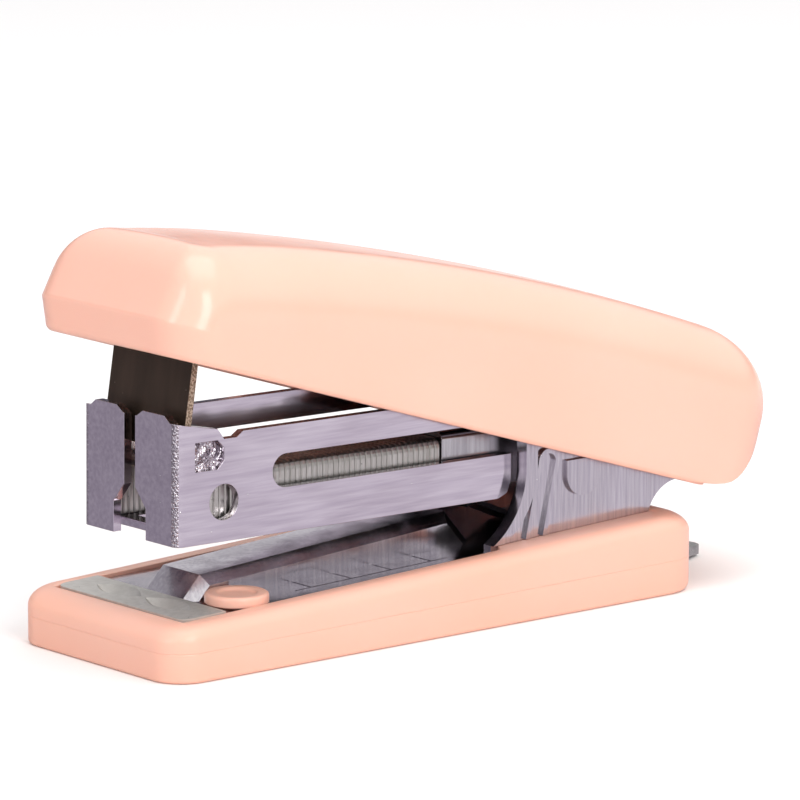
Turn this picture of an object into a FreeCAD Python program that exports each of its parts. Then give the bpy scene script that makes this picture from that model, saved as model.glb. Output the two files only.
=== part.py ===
"""Mini stapler for No. 10 staples: moulded shoe and cover, pressed steel frame, magazine and driver.

Frame: X across the stapler, Y along it with the jaw at -Y and the hinge at +Y, Z up.
The origin is the centre of the shoe's flat underside. Sizes are millimetres.
"""
import FreeCAD, Part
import os
import Sketcher

SIZES = {
    # clearances and the stock that more than one piece is made of
    "sheet": 0.8, "leaf": 0.4, "ear_gap": 0.2, "lug_gap": 0.25, "head_gap": 0.1, "wall_gap": 0.2,
    "pin_clearance": 0.05, "side_gap": 0.25, "strip_gap": 0.3, "button_gap": 0.02, "seam_gap": 0.05,
    # moulded shoe
    "base_length": 50.5, "base_width": 19.25, "base_front_height": 4.0, "base_rear_height": 6.1,
    "base_front_corner": 2.5, "base_rear_corner": 3.4, "base_edge_round": 1.3, "base_floor": 1.2,
    "seat_ledge": 1.6, "rib_thickness": 1.0, "rib_middle": 29.0, "rib_rear": 17.0,
    "plate_rim": 2.025, "anvil_rim": 2.025, "post_radius": 2.0,
    # pressed frame: plate, bead and depth marks
    "plate_front": 6.1, "plate_tail": 0.2, "plate_share": 0.63, "bead_setback": 0.15, "bead_tail": 14.0,
    "bead_rise": 1.8, "bead_drop": 4.6, "bead_bevel_share": 0.22, "bead_nose": 1.7, "bead_slope": 2.2,
    "bead_root": 0.3, "bead_front_wall": 1.4, "bead_rear_wall": 1.2,
    "tick_start": 15.7, "tick_pitch": 3.75, "tick_depth": 0.1, "tick_width": 0.2, "tick_margin": 2.3,
    "tick_clear": 0.15, "tick_overrun": 1.5,
    # pressed frame: hinge ears, their rolled front edge, swaged loop and lanced stop
    "ear_foot": 15.4, "ear_neck": 12.2, "ear_neck_low": 1.5, "ear_neck_high": 0.8, "ear_sweep": 6.5,
    "ear_back": 4.2, "ear_back_rise": 1.8, "ear_waist": 0.1, "ear_waist_sweep": 3.2, "ear_top": 4.0,
    "ear_top_front": 4.0, "ear_top_rear": 1.6, "emboss": 0.3, "flange_width": 1.1,
    "loop_foot": 12.25, "loop_top": 11.0, "loop_width": 2.05, "loop_ridge": 0.4, "loop_drop": 0.9,
    "stop_start": 8.2, "stop_length": 3.3, "stop_low": 2.3, "stop_high": 1.1,
    # anvil
    "anvil_front": 2.3, "anvil_thickness": 1.0, "anvil_lift": 0.1, "anvil_corner": 0.9,
    "pocket_inset": 1.6, "pocket_half_width": 1.1, "pocket_span": 2.9, "pocket_radius": 5.2,
    "pocket_depth": 0.72,
    # hinge
    "pin_inset": 3.5, "pin_rise": 5.9, "pin_radius": 1.2, "pin_head_radius": 1.9, "pin_head": 0.35,
    # magazine, measured from the hinge pin
    "mag_tilt": 0.64, "mag_inset": 3.36, "mag_rear": 2.8, "mag_half_width": 5.6, "mag_wall": 0.7,
    "mag_floor": 0.6, "mag_drop": 3.59, "mag_top": 4.25, "mag_lip_rise": 1.04, "mag_bend": 0.65,
    "mag_rear_corner": 1.6, "rail_end": 12.6, "rail_corner": 1.2, "rail_corner_inner": 0.35,
    "arm_front": 9.8, "arm_knee": 8.0, "arm_low": 2.2, "lip_length": 3.6, "lip_tail": 0.38, "lip_ramp": 0.6,
    "notch_end": 5.3, "notch_ramp": 0.6, "notch_depth": 0.4,
    "window_inset": 8.54, "window_bottom": -0.3, "window_top": 2.15, "hole_inset": 4.19,
    "hole_z": -0.72, "hole_radius": 1.3, "floor_slot_side": 1.6, "floor_slot_front": 1.2,
    "floor_slot_rear": 2.4, "flap_gap": 0.65, "flap_mouth": 1.9, "flap_mouth_top": -0.9,
    "flap_mouth_slope": 1.0, "flap_mouth_shoulder": 0.4, "flap_inset": 0.65, "flap_corner": 0.9,
    "flap_rise": 0.46, "flap_inner_drop": 0.1, "flap_overlap": 1.79, "flap_root": 0.2,
    "lance_front": 1.6, "lance_length": 2.6, "lance_low": 1.7, "lance_high": 3.8, "lance_depth": 0.35,
    "lance_corner": 0.6,
    # staples, follower, its rod and its spring
    "strip_inset": 2.04, "strip_room": 18.6, "staple_pitch": 0.5, "crown_top": 1.35, "crown_round": 0.4,
    "wire": 0.5, "follower_length": 8.0, "follower_sheet": 0.6, "follower_rise": 0.35,
    "follower_round": 0.5, "follower_gap": 0.1, "rod_radius": 0.5, "rod_z": -0.6, "rod_inset": 1.3,
    "rod_tail": 0.3, "anchor_y": 3.4, "anchor_low": 2.0, "anchor_high": 2.4, "spring_wire": 0.3,
    "spring_radius": 1.25, "spring_turns": 15.0,
    # moulded cover, measured from the hinge pin
    "cover_tilt": 17.3, "cover_overhang": 4.36, "cover_rear": 11.45, "cover_drop": 2.94,
    "cover_apex": 9.25, "cover_apex_y": 5.0, "nose_fall": 4.38, "nose_top_back": 1.1,
    "nose_low_back": 1.2, "nose_crease": -0.6, "cover_wall": 1.3, "nose_wall": 1.6,
    "cover_side_round": 4.5, "tail_share": 0.65, "tail_reach": 6.5, "tail_lift": 1.5,
    "tail_top_drop": 0.7, "cover_open_rear": 7.0, "open_rear_height": 4.5, "open_rear_step": 5.0,
    "shoulder_gap": 0.55, "shoulder_step": 2.0, "cavity_low": 0.5, "cavity_step": 2.0, "cavity_rise": 1.2,
    "cavity_knee": 2.4, "cavity_slope": 1.6, "cavity_high": 5.9, "post_inset": 18.4, "post_rear": 8.0,
    "post_width": 3.0,
    # inner steel frame of the cover and the driver blade
    "channel_overrun": 3.0, "channel_gap": 0.65, "roof_gap": 0.5, "channel_spread": 0.4,
    "lug_sheet": 0.7, "lug_low": 2.56, "lug_reach": 5.6, "lug_half": 1.8, "lug_shoulder": 0.6,
    "lug_front_step": 3.2, "blade_thickness": 0.6, "blade_setback": 1.16, "blade_height": 3.49,
    "blade_lean": 8.3, "blade_flange": 6.0, "blade_rivet_edge": 2.05,
    # springs, remover and rivets
    "return_leaf_width": 5.0, "return_leaf_reach": 0.9, "return_leaf_gap": 0.25, "return_leaf_curl": 0.8,
    "curl_drop": 0.3, "curl_step": 0.1, "cover_leaf_side": 0.3, "cover_leaf_reach": 22.8,
    "cover_leaf_foot": 0.2, "cover_leaf_gap": 0.13, "cover_leaf_rivet": 14.0,
    "remover_width": 5.0, "remover_reach": 7.5, "remover_sheet": 0.8, "remover_z": 0.5,
    "remover_tip_z": 0.15, "remover_root": 7.0, "remover_taper": 2.2, "remover_nose": 0.7,
    "remover_point": 0.2, "remover_share": 0.62, "remover_neck": 1.5,
    "rivet_inset": 1.6, "rivet_radius": 1.0, "rivet_head_radius": 1.7, "rivet_head": 0.4,
    "rivet_pitch_gap": 0.6, "leaf_tail": 0.5, "small_share": 0.8, "rivet_foot": 0.1, "rivet_sink": 0.3,
    "button_radius": 2.33, "button_setback": 2.8, "button_head": 0.8, "button_shank": 1.2,
    "button_dimple": 1.1, "button_dimple_depth": 0.25,
}

# sizes that follow from others, each as the sheet's own formula
FORMULAS = {
    "pin_y": "base_length - pin_inset",
    "pin_z": "base_rear_height + pin_rise",
    "plate_end": "pin_y + plate_tail",
    "plate_half_width": "base_width / 2 - plate_rim",
    "anvil_half_width": "base_width / 2 - anvil_rim",
    "plate_front_top": "base_front_height",
    "plate_rise": "(base_rear_height - base_front_height) * plate_share",
    "button_x": "plate_half_width - button_radius - button_gap",
    "button_y": "plate_front + button_setback",
    "bead_half_width": "button_x - button_radius - button_gap",
    "bead_front": "plate_front + bead_setback",
    "bead_end": "pin_y - bead_tail",
    "bead_front_top": "plate_front_top + bead_rise",
    "bead_end_top": "pin_z - bead_drop",
    "bead_chamfer": "(bead_end_top - plate_front_top) * bead_bevel_share",
    "tick_foot": "bead_half_width + tick_clear",
    "tick_line": "plate_half_width - tick_margin",
    "ear_outer": "mag_half_width + ear_gap + sheet",
    "lug_inner": "ear_outer + lug_gap",
    "head_inner": "lug_inner + lug_sheet + head_gap",
    "pocket_centre": "plate_front - pocket_inset",
    "remover_rivet_y": "pin_y - rivet_inset",
    "leaf_rivet_y": "remover_rivet_y - 2 * rivet_head_radius - rivet_pitch_gap",
    "leaf_end": "rivet_head_radius + leaf_tail",
    "mag_front": "pin_y - mag_inset",
    "mag_lip": "mag_top + mag_lip_rise",
    "mag_inner": "mag_half_width - mag_wall",
    "strip_front": "mag_front - strip_inset",
    "crown_half_width": "mag_inner - strip_gap",
    "staple_count": "round((strip_front - strip_room) / staple_pitch)",
    "floor_slot": "mag_inner - floor_slot_side",
    "cover_front": "mag_front + cover_overhang",
    "cover_width": "2 * (head_inner + pin_head + wall_gap + cover_wall)",
    "cover_crown": "(cover_front - cover_apex_y) ^ 2 / (2 * nose_fall)",
    "tail_height": "cover_apex + cover_drop - tail_top_drop - tail_lift",
    "cover_rear_top_round": "tail_height * tail_share",
    "cover_rear_bottom_round": "tail_height * (1 - tail_share)",
    "blade_out": "mag_front - blade_setback",
    "blade_tip_y": "blade_out * cos(cover_tilt) + blade_height * sin(cover_tilt)",
    "blade_tip_z": "blade_out * sin(cover_tilt) - blade_height * cos(cover_tilt)",
    "blade_slope": "tan(blade_lean)",
    "blade_width": "2 * (mag_inner - side_gap)",
    "blade_rivet_x": "blade_width / 2 - blade_rivet_edge",
    "blade_rivet_place": "blade_tip_y - blade_rivet_edge",
    "channel_front": "blade_tip_y + channel_overrun",
    "channel_front_top": "cover_apex - (channel_front - cover_apex_y) ^ 2 / (2 * cover_crown)"
                         " - cover_wall - roof_gap",
    "channel_rear_top": "mag_top + sheet + channel_gap",
    "channel_half_width": "mag_half_width + channel_spread",
    "shoulder": "cover_apex - channel_rear_top - shoulder_gap",
    "cover_leaf_half": "mag_half_width - cover_leaf_side",
    "cover_leaf_lift": "cover_leaf_reach * (sin(mag_tilt) - sin(cover_tilt))",
    "cover_leaf_z": "(mag_top + cover_leaf_gap + cover_leaf_lift) / cos(cover_tilt)",
}

BASE_TOP = 20.0
OPEN_END = 10.0
TICK_COUNT = 4
SMALLEST_CUT = 0.001
PARALLEL = 0.999
ORIGIN, START, END, CENTRE = -1, 1, 2, 3
X_AXIS, Y_AXIS, Z_AXIS = FreeCAD.Vector(1, 0, 0), FreeCAD.Vector(0, 1, 0), FreeCAD.Vector(0, 0, 1)
pieces = {}
frames = {}

doc = FreeCAD.newDocument("MiniStapler")
sheet = doc.addObject("Spreadsheet::Sheet", "Sizes")
for row, (alias, size) in enumerate((SIZES | FORMULAS).items(), start=1):
    sheet.set(f"A{row}", alias)
    sheet.set(f"B{row}", f"={size}")
    sheet.setAlias(f"B{row}", alias)
    doc.recompute()


class Size:
    """A number together with the spreadsheet expression that gives it."""

    def __init__(self, value, text):
        self.value = value
        self.text = text

    def __add__(self, other):
        other = as_size(other)
        return Size(self.value + other.value, f"({self.text} + {other.text})")

    def __sub__(self, other):
        other = as_size(other)
        return Size(self.value - other.value, f"({self.text} - {other.text})")

    def __mul__(self, other):
        other = as_size(other)
        return Size(self.value * other.value, f"({self.text} * {other.text})")

    def __truediv__(self, other):
        other = as_size(other)
        return Size(self.value / other.value, f"({self.text} / {other.text})")

    def __rsub__(self, other):
        return as_size(other) - self

    def __neg__(self):
        return Size(-self.value, f"(0 - {self.text})")

    __radd__ = __add__
    __rmul__ = __mul__


def as_size(number):
    return number if isinstance(number, Size) else Size(float(number), f"({number})")


class Sheet:
    """Gives each alias of the spreadsheet as an attribute that is a Size."""

    def __getattr__(self, alias):
        return Size(float(sheet.get(alias)), f"Sizes.{alias}")


S = Sheet()


def bind(thing, path, size):
    """Ties one property of an object to the expression of a size."""
    thing.setExpression(path, as_size(size).text)


class Piece:
    """A PartDesign body, with one short method for each kind of feature."""

    def __init__(self, label):
        self.body = doc.addObject("PartDesign::Body", label)
        self.body.Label = label
        pieces[label] = self.body
        self.count = 0

    def plane(self, role):
        return next(item for item in self.body.Origin.OriginFeatures if item.Role == role)

    def add(self, kind):
        self.count += 1
        return self.body.newObject(kind, f"{self.body.Name}_{self.count}")

    def sketch(self, role, offset):
        drawing = self.add("Sketcher::SketchObject")
        drawing.AttachmentSupport = [(self.plane(role), "")]
        drawing.MapMode = "FlatFace"
        bind(drawing, "AttachmentOffset.Base.z", offset)
        return drawing

    def outline(self, role, points, offset=0, bulges=None):
        """A closed outline; bulges gives the radius of the edge from a point, negative if it is hollow."""
        drawing = self.sketch(role, offset)
        add_outline(drawing, points, bulges or {})
        return drawing

    def circles(self, role, centres, radius, offset=0):
        drawing = self.sketch(role, offset)
        for across, up in centres:
            centre = FreeCAD.Vector(as_size(across).value, as_size(up).value, 0)
            edge = drawing.addGeometry(Part.Circle(centre, Z_AXIS, as_size(radius).value), False)
            dimension(drawing, "Radius", (edge,), radius)
            pin_point(drawing, edge, CENTRE, across, up)
        return drawing

    def extrude(self, kind, drawing, length):
        feature = self.add(kind)
        feature.Profile = drawing
        feature.SideType = "Symmetric"
        bind(feature, "Length", length)
        drawing.Visibility = False
        return feature

    def pad(self, drawing, length):
        """Adds material to both sides of the drawing, length in all."""
        return self.extrude("PartDesign::Pad", drawing, length)

    def cut(self, drawing, length):
        """Removes material to both sides of the drawing, and makes sure that it did."""
        doc.recompute()
        before = self.body.Shape.Volume
        feature = self.extrude("PartDesign::Pocket", drawing, length)
        doc.recompute()
        if self.body.Shape.Volume > before - SMALLEST_CUT:
            raise ValueError(f"{feature.Name} of {self.body.Label} removed nothing")
        return feature

    def mirror(self, features):
        """Repeats features on the far side of the middle plane."""
        twin = self.add("PartDesign::Mirrored")
        twin.Originals = features
        twin.MirrorPlane = (self.plane("YZ_Plane"), [""])
        self.body.Tip = twin
        return twin

    def edges(self, test):
        """The names of the tip's edges whose middle and direction satisfy the test."""
        doc.recompute()
        names = []
        for number, edge in enumerate(self.body.Tip.Shape.Edges, start=1):
            middle = edge.valueAt((edge.FirstParameter + edge.LastParameter) / 2)
            start, end = edge.valueAt(edge.FirstParameter), edge.valueAt(edge.LastParameter)
            if test(middle, end - start):
                names.append(f"Edge{number}")
        if not names:
            raise ValueError(f"no edge of {self.body.Label} was found")
        return names

    def round(self, radius, test):
        names = self.edges(test)
        feature = self.body.Tip
        fillet = self.add("PartDesign::Fillet")
        fillet.Base = (feature, names)
        bind(fillet, "Radius", radius)
        return fillet

    def bevel(self, size, test):
        names = self.edges(test)
        feature = self.body.Tip
        chamfer = self.add("PartDesign::Chamfer")
        chamfer.Base = (feature, names)
        bind(chamfer, "Size", size)
        return chamfer


def dimension(drawing, kind, targets, size):
    """Adds one driving dimension and ties it to the size's expression."""
    number = drawing.addConstraint(Sketcher.Constraint(kind, *targets, as_size(size).value))
    drawing.setExpression(f"Constraints[{number}]", as_size(size).text)


def pin_point(drawing, edge, point, across, up):
    """Fixes a point of an edge at its two coordinates."""
    dimension(drawing, "DistanceX", (ORIGIN, START, edge, point), across)
    dimension(drawing, "DistanceY", (ORIGIN, START, edge, point), up)


def add_outline(drawing, points, bulges):
    """Draws lines, and arcs where a bulge is given, round the points and fixes each corner."""
    places = [FreeCAD.Vector(as_size(x).value, as_size(y).value, 0) for x, y in points]
    edges = []
    for index, start in enumerate(places):
        end = places[(index + 1) % len(places)]
        if index in bulges:
            radius = bulges[index].value
            chord = end - start
            rise = abs(radius) - (radius**2 - (chord.Length / 2) ** 2) ** 0.5
            side = FreeCAD.Vector(chord.y, -chord.x, 0).normalize()
            middle = (start + end) / 2 + side * (rise if radius > 0 else -rise)
            shape = Part.Arc(start, middle, end)
        else:
            shape = Part.LineSegment(start, end)
        edges.append(drawing.addGeometry(shape, False))
    for index, edge in enumerate(edges):
        if index in bulges:
            size = bulges[index]
            dimension(drawing, "Radius", (edge,), size if size.value > 0 else -size)
        following = (index + 1) % len(edges)
        last, first = ends(bulges, index)[1], ends(bulges, following)[0]
        drawing.addConstraint(Sketcher.Constraint("Coincident", edge, last, edges[following], first))
        pin_point(drawing, edge, ends(bulges, index)[0], *points[index])


def ends(bulges, index):
    """An edge's first and last point; a hollow arc is stored the other way round."""
    return (END, START) if index in bulges and bulges[index].value < 0 else (START, END)


def is_along(direction, axis):
    """Whether a chord runs along one of the three axes."""
    return direction.Length > 0 and abs(direction.normalize().dot(axis)) > PARALLEL


def rim(along):
    """Height of the shoe's top edge at a distance from its front."""
    return S.base_front_height + (S.base_rear_height - S.base_front_height) * along / S.base_length


def plate_top(along):
    """Height of the frame plate's top face at a distance from the shoe's front."""
    return S.plate_front_top + S.plate_rise * (as_size(along) - S.plate_front) / (S.plate_end - S.plate_front)


def seat(along):
    """Height at which the frame plate rests on the shoe."""
    return plate_top(along) - S.sheet


def plate_steps():
    """The frame plate's two lengths with their half-widths: beside the bead, and between the ears."""
    ear_front = S.pin_y - S.ear_foot
    return (S.plate_front, ear_front, S.plate_half_width), (ear_front, S.plate_end, S.ear_outer)


def roof(forward):
    """Height of the cover's crowned top, at a distance forward of the pin."""
    from_apex = forward - S.cover_apex_y
    return S.cover_apex - from_apex * from_apex / (2 * S.cover_crown)


def channel_top(forward):
    """Top face of the cover's inner frame, at a distance forward of the pin."""
    reach = S.channel_front + S.mag_rear
    return S.channel_rear_top + (S.channel_front_top - S.channel_rear_top) * (forward + S.mag_rear) / reach


def follower_front():
    """The follower's front face, just behind the last staple."""
    return -S.strip_front + S.staple_pitch * S.staple_count + S.follower_gap


def blade_rivet_centres():
    """Where the blade's two rivets stand, seen from above."""
    return [(-S.blade_rivet_x, -S.blade_rivet_place), (S.blade_rivet_x, -S.blade_rivet_place)]


def start_piece(label, frame):
    """Starts a body and notes the frame that it is placed in."""
    frames[label] = frame
    return Piece(label)


def disc_stack(label, frame, places):
    """Round pieces that share one node: each place gives its axis point and its (radius, low, high) steps."""
    discs = []
    for across, along, steps in places:
        for radius, low, high in steps:
            disc = doc.addObject("Part::Cylinder", f"{label}_disc")
            bind(disc, "Radius", radius)
            bind(disc, "Height", as_size(high) - low)
            bind(disc, "Placement.Base.x", across)
            bind(disc, "Placement.Base.y", along)
            bind(disc, "Placement.Base.z", low)
            discs.append(disc)
    group = doc.addObject("Part::MultiFuse", label)
    group.Label = label
    group.Shapes = discs
    pieces[label] = group
    frames[label] = frame
    return group


def box_cut(piece, start, end, low, high, width):
    """Cuts a box that spans both sides of the middle plane."""
    return piece.cut(
        piece.outline("YZ_Plane", [(start, low), (end, low), (end, high), (start, high)]), width
    )


def make_base_shoe():
    """The moulded tray that the frame sits in: floor, walls, ledges, and ribs that take the rivets."""
    shoe = start_piece("base_shoe", "base")
    shoe.pad(
        shoe.outline(
            "YZ_Plane",
            [(0, 0), (S.base_length, 0), (S.base_length, S.base_rear_height), (0, S.base_front_height)],
        ),
        S.base_width,
    )
    middle_y = S.base_length.value / 2
    shoe.round(S.base_front_corner, lambda middle, way: is_along(way, Z_AXIS) and middle.y < middle_y)
    shoe.round(S.base_rear_corner, lambda middle, way: is_along(way, Z_AXIS) and middle.y > middle_y)
    shoe.round(S.base_edge_round, lambda middle, way: middle.z > S.base_front_height.value - SMALLEST_CUT)
    shoe.cut(
        shoe.outline("YZ_Plane", [
            (S.anvil_front, rim(S.anvil_front) - S.anvil_thickness),
            (S.plate_front, rim(S.plate_front) - S.anvil_thickness),
            (S.plate_front, BASE_TOP), (S.anvil_front, BASE_TOP),
        ]),
        2 * S.anvil_half_width,
    )
    for start, end, half_width in plate_steps():
        shoe.cut(
            shoe.outline("YZ_Plane", [
                (start, seat(start)), (end, seat(end)), (end, BASE_TOP), (start, BASE_TOP),
            ]),
            2 * half_width,
        )
    hollow_width = 2 * (S.ear_outer - S.seat_ledge)
    hollow_rear = S.remover_rivet_y - S.post_radius
    box_cut(shoe, S.anvil_front + S.seat_ledge, hollow_rear, S.base_floor, BASE_TOP, hollow_width)
    for place, half_thickness in (
        (S.button_y, S.post_radius), (S.pin_y - S.rib_middle, S.rib_thickness / 2),
        (S.pin_y - S.rib_rear, S.rib_thickness / 2),
    ):
        low, high = place - half_thickness, place + half_thickness
        shoe.pad(
            shoe.outline("YZ_Plane", [
                (low, S.base_floor), (high, S.base_floor), (high, seat(high)), (low, seat(low)),
            ]),
            hollow_width,
        )
    box_cut(
        shoe, S.pin_y - S.remover_root, S.base_length + 1, S.remover_z, S.remover_z + S.remover_sheet,
        S.remover_width,
    )
    shoe.cut(shoe.circles("XY_Plane", [(0, S.remover_rivet_y)], S.rivet_radius), 2 * BASE_TOP)
    shoe.cut(
        shoe.circles("XY_Plane", [(S.button_x, S.button_y)], S.button_shank, BASE_TOP / 2 + S.base_floor),
        BASE_TOP,
    )


def add_bead(frame):
    """Presses the long stiffening bead up out of the frame's plate, hollow below."""
    nose, tail = S.bead_front + S.bead_nose, S.bead_end - S.bead_slope
    frame.pad(
        frame.outline("YZ_Plane", [
            (S.bead_front, seat(S.bead_front) + S.bead_root), (S.bead_end, seat(S.bead_end) + S.bead_root),
            (S.bead_end, plate_top(S.bead_end)), (tail, S.bead_end_top),
            (nose, S.bead_front_top), (S.bead_front, plate_top(S.bead_front)),
        ]),
        2 * S.bead_half_width,
    )
    frame.bevel(
        S.bead_chamfer,
        lambda middle, way: middle.z > plate_top(middle.y).value + SMALLEST_CUT
        and abs(abs(middle.x) - S.bead_half_width.value) < SMALLEST_CUT,
    )
    inner_front, inner_rear = S.bead_front + S.bead_front_wall, S.bead_end - S.bead_rear_wall
    frame.cut(
        frame.outline("YZ_Plane", [
            (inner_front, 0), (inner_rear, 0), (inner_rear, plate_top(S.bead_end) - S.sheet / 2),
            (tail - S.sheet / 2, S.bead_end_top - S.sheet), (nose + S.bead_root, S.bead_front_top - S.sheet),
            (inner_front, plate_top(S.bead_front) - S.bead_root),
        ]),
        2 * (S.bead_half_width - S.sheet),
    )


def add_ears(frame):
    """Raises the two hinge ears, with a rolled front edge, a swaged loop and a lanced stop on each."""
    foot, neck = S.pin_y - S.ear_foot, S.pin_y - S.ear_neck
    foot_z = rim(foot) + S.seam_gap
    neck_low, neck_high = S.pin_z - S.ear_neck_low, S.pin_z + S.ear_neck_high
    back = S.pin_y + S.ear_back
    ear_high = S.pin_z + S.ear_top
    ear = frame.pad(
        frame.outline("YZ_Plane", [
            (foot, seat(foot)), (S.plate_end, seat(S.plate_end)),
            (S.plate_end, S.base_rear_height - S.ear_waist), (back, S.base_rear_height + S.ear_back_rise),
            (back, S.pin_z), (S.pin_y + S.ear_top_rear, ear_high), (S.pin_y - S.ear_top_front, ear_high),
            (neck, neck_high), (neck, neck_low), (foot, foot_z),
        ], S.ear_outer - S.sheet / 2, {2: -S.ear_waist_sweep, 8: -S.ear_sweep}),
        S.sheet,
    )
    emboss_middle = S.ear_outer + S.emboss / 2
    flange = frame.pad(
        frame.outline("YZ_Plane", [
            (foot, foot_z), (foot + S.flange_width, rim(foot + S.flange_width) + S.seam_gap),
            (neck + S.flange_width, neck_low), (neck + S.flange_width, neck_high),
            (neck, neck_high), (neck, neck_low),
        ], emboss_middle, {1: S.ear_sweep, 5: -S.ear_sweep}),
        S.emboss,
    )
    loop = []
    for inset, add_or_cut in ((as_size(0), frame.pad), (S.loop_ridge, frame.cut)):
        low_front = S.pin_y - S.loop_foot + inset
        low_rear = S.pin_y - S.loop_foot + S.loop_width - inset
        high_front = S.pin_y - S.loop_top + inset
        high_rear = S.pin_y - S.loop_top + S.loop_width - inset
        loop.append(add_or_cut(
            frame.outline("YZ_Plane", [
                (low_front, rim(low_front) + S.seam_gap), (low_rear, rim(low_rear) + S.seam_gap),
                (high_rear, S.pin_z - S.loop_drop), (high_front, S.pin_z - S.loop_drop),
            ], emboss_middle, {2: S.loop_width / 2 - inset + SMALLEST_CUT}),
            S.emboss,
        ))
    stop_front = S.pin_y - S.stop_start
    stop_rear = stop_front + S.stop_length
    stop = frame.pad(
        frame.outline("YZ_Plane", [
            (stop_front, S.pin_z - S.stop_low), (stop_rear, S.pin_z - S.stop_low),
            (stop_rear, S.pin_z - S.stop_high), (stop_front, S.pin_z - S.stop_high),
        ], emboss_middle, {0: S.stop_length / 2 + SMALLEST_CUT}),
        S.emboss,
    )
    frame.mirror([ear, flange, *loop, stop])


def add_depth_marks(frame):
    """Rules the paper depth marks into the plate beside the bead."""
    line_start = S.tick_start - S.tick_overrun
    line_end = S.tick_start + S.tick_pitch * (TICK_COUNT - 1) + S.tick_overrun
    frame.cut(
        frame.outline("YZ_Plane", [
            (line_start, plate_top(line_start) - S.tick_depth),
            (line_end, plate_top(line_end) - S.tick_depth),
            (line_end, plate_top(line_end) + 1), (line_start, plate_top(line_start) + 1),
        ], S.tick_line),
        S.tick_width,
    )
    for number in range(TICK_COUNT):
        place = S.tick_start + S.tick_pitch * number
        low, high = place - S.tick_width / 2, place + S.tick_width / 2
        frame.cut(
            frame.outline("XY_Plane", [
                (S.tick_foot, low), (S.tick_line, low), (S.tick_line, high), (S.tick_foot, high),
            ], plate_top(place)),
            2 * S.tick_depth,
        )


def make_base_frame():
    """The pressed steel frame: plate with its stiffening bead and depth marks, and the two hinge ears."""
    frame = start_piece("base_frame", "base")
    for start, end, half_width in plate_steps():
        frame.pad(
            frame.outline("YZ_Plane", [
                (start, seat(start)), (end, seat(end)), (end, plate_top(end)), (start, plate_top(start)),
            ]),
            2 * half_width,
        )
    add_bead(frame)
    add_ears(frame)
    frame.cut(frame.circles("YZ_Plane", [(S.pin_y, S.pin_z)], S.pin_radius), 3 * S.ear_outer)
    frame.cut(
        frame.circles("XY_Plane", [(0, S.remover_rivet_y), (0, S.leaf_rivet_y)], S.rivet_radius),
        2 * BASE_TOP,
    )
    frame.cut(frame.circles("XY_Plane", [(S.button_x, S.button_y)], S.button_shank), 2 * BASE_TOP)
    add_depth_marks(frame)


def make_anvil_plate():
    """The anvil with its two leaf-shaped forming pockets."""
    anvil = start_piece("anvil_plate", "base")
    front, rear = S.anvil_front, S.plate_front
    anvil.pad(
        anvil.outline("YZ_Plane", [
            (front, rim(front) - S.anvil_thickness), (rear, rim(rear) - S.anvil_thickness),
            (rear, rim(rear) + S.anvil_lift), (front, rim(front) + S.anvil_lift),
        ]),
        2 * S.anvil_half_width,
    )
    middle_y = (front.value + rear.value) / 2
    anvil.round(S.anvil_corner, lambda middle, way: is_along(way, Z_AXIS) and middle.y < middle_y)
    axis_height = rim(S.pocket_centre) + S.anvil_lift - S.pocket_depth + S.pocket_radius
    for side in (-1, 1):
        drawing = anvil.outline("YZ_Plane", [
            (S.pocket_centre - 2 * S.pocket_half_width, 2 * S.pocket_depth - S.pocket_radius),
            (S.pocket_centre, -S.pocket_radius),
            (S.pocket_centre + 2 * S.pocket_half_width, 2 * S.pocket_depth - S.pocket_radius),
        ], side * S.pocket_span)
        bind(drawing, "AttachmentOffset.Base.y", axis_height)
        before = anvil.body.Shape.Volume
        groove = anvil.add("PartDesign::Groove")
        groove.Profile = drawing
        groove.ReferenceAxis = (drawing, ["H_Axis"])
        groove.Angle = 360.0
        doc.recompute()
        if anvil.body.Shape.Volume > before - SMALLEST_CUT:
            raise ValueError("a forming pocket removed nothing")


def make_hinge_pin():
    """The pin through ears, magazine and cover frame, with a peened head at each end."""
    pin = start_piece("hinge_pin", "base")
    pin.pad(pin.circles("YZ_Plane", [(S.pin_y, S.pin_z)], S.pin_radius), 2 * S.head_inner)
    for side in (-1, 1):
        head_middle = side * (S.head_inner + S.pin_head / 2)
        pin.pad(pin.circles("YZ_Plane", [(S.pin_y, S.pin_z)], S.pin_head_radius, head_middle), S.pin_head)


def make_staple_remover():
    """The steel tongue that dips out behind the shoe for lifting staples."""
    remover = start_piece("staple_remover", "base")
    half = S.remover_width / 2
    root, tip = S.pin_y - S.remover_root, S.base_length + S.remover_reach
    neck, taper = S.base_length + S.remover_neck, tip - S.remover_taper
    remover.pad(
        remover.outline("YZ_Plane", [
            (root, S.remover_z), (S.base_length, S.remover_z), (tip, S.remover_tip_z),
            (tip, S.remover_tip_z + S.remover_sheet), (S.base_length, S.remover_z + S.remover_sheet),
            (root, S.remover_z + S.remover_sheet),
        ]),
        S.remover_width,
    )
    for side in (-1, 1):
        corners = [
            (side * half, neck), (side * S.remover_share * half, taper),
            (side * S.remover_nose, tip - S.remover_point), (0, tip), (0, tip + 1),
            (side * (half + 1), tip + 1), (side * (half + 1), neck),
        ]
        remover.cut(remover.outline("XY_Plane", corners), 2 * BASE_TOP)
    remover.cut(remover.circles("XY_Plane", [(0, S.remover_rivet_y)], S.rivet_radius), 2 * BASE_TOP)


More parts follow.
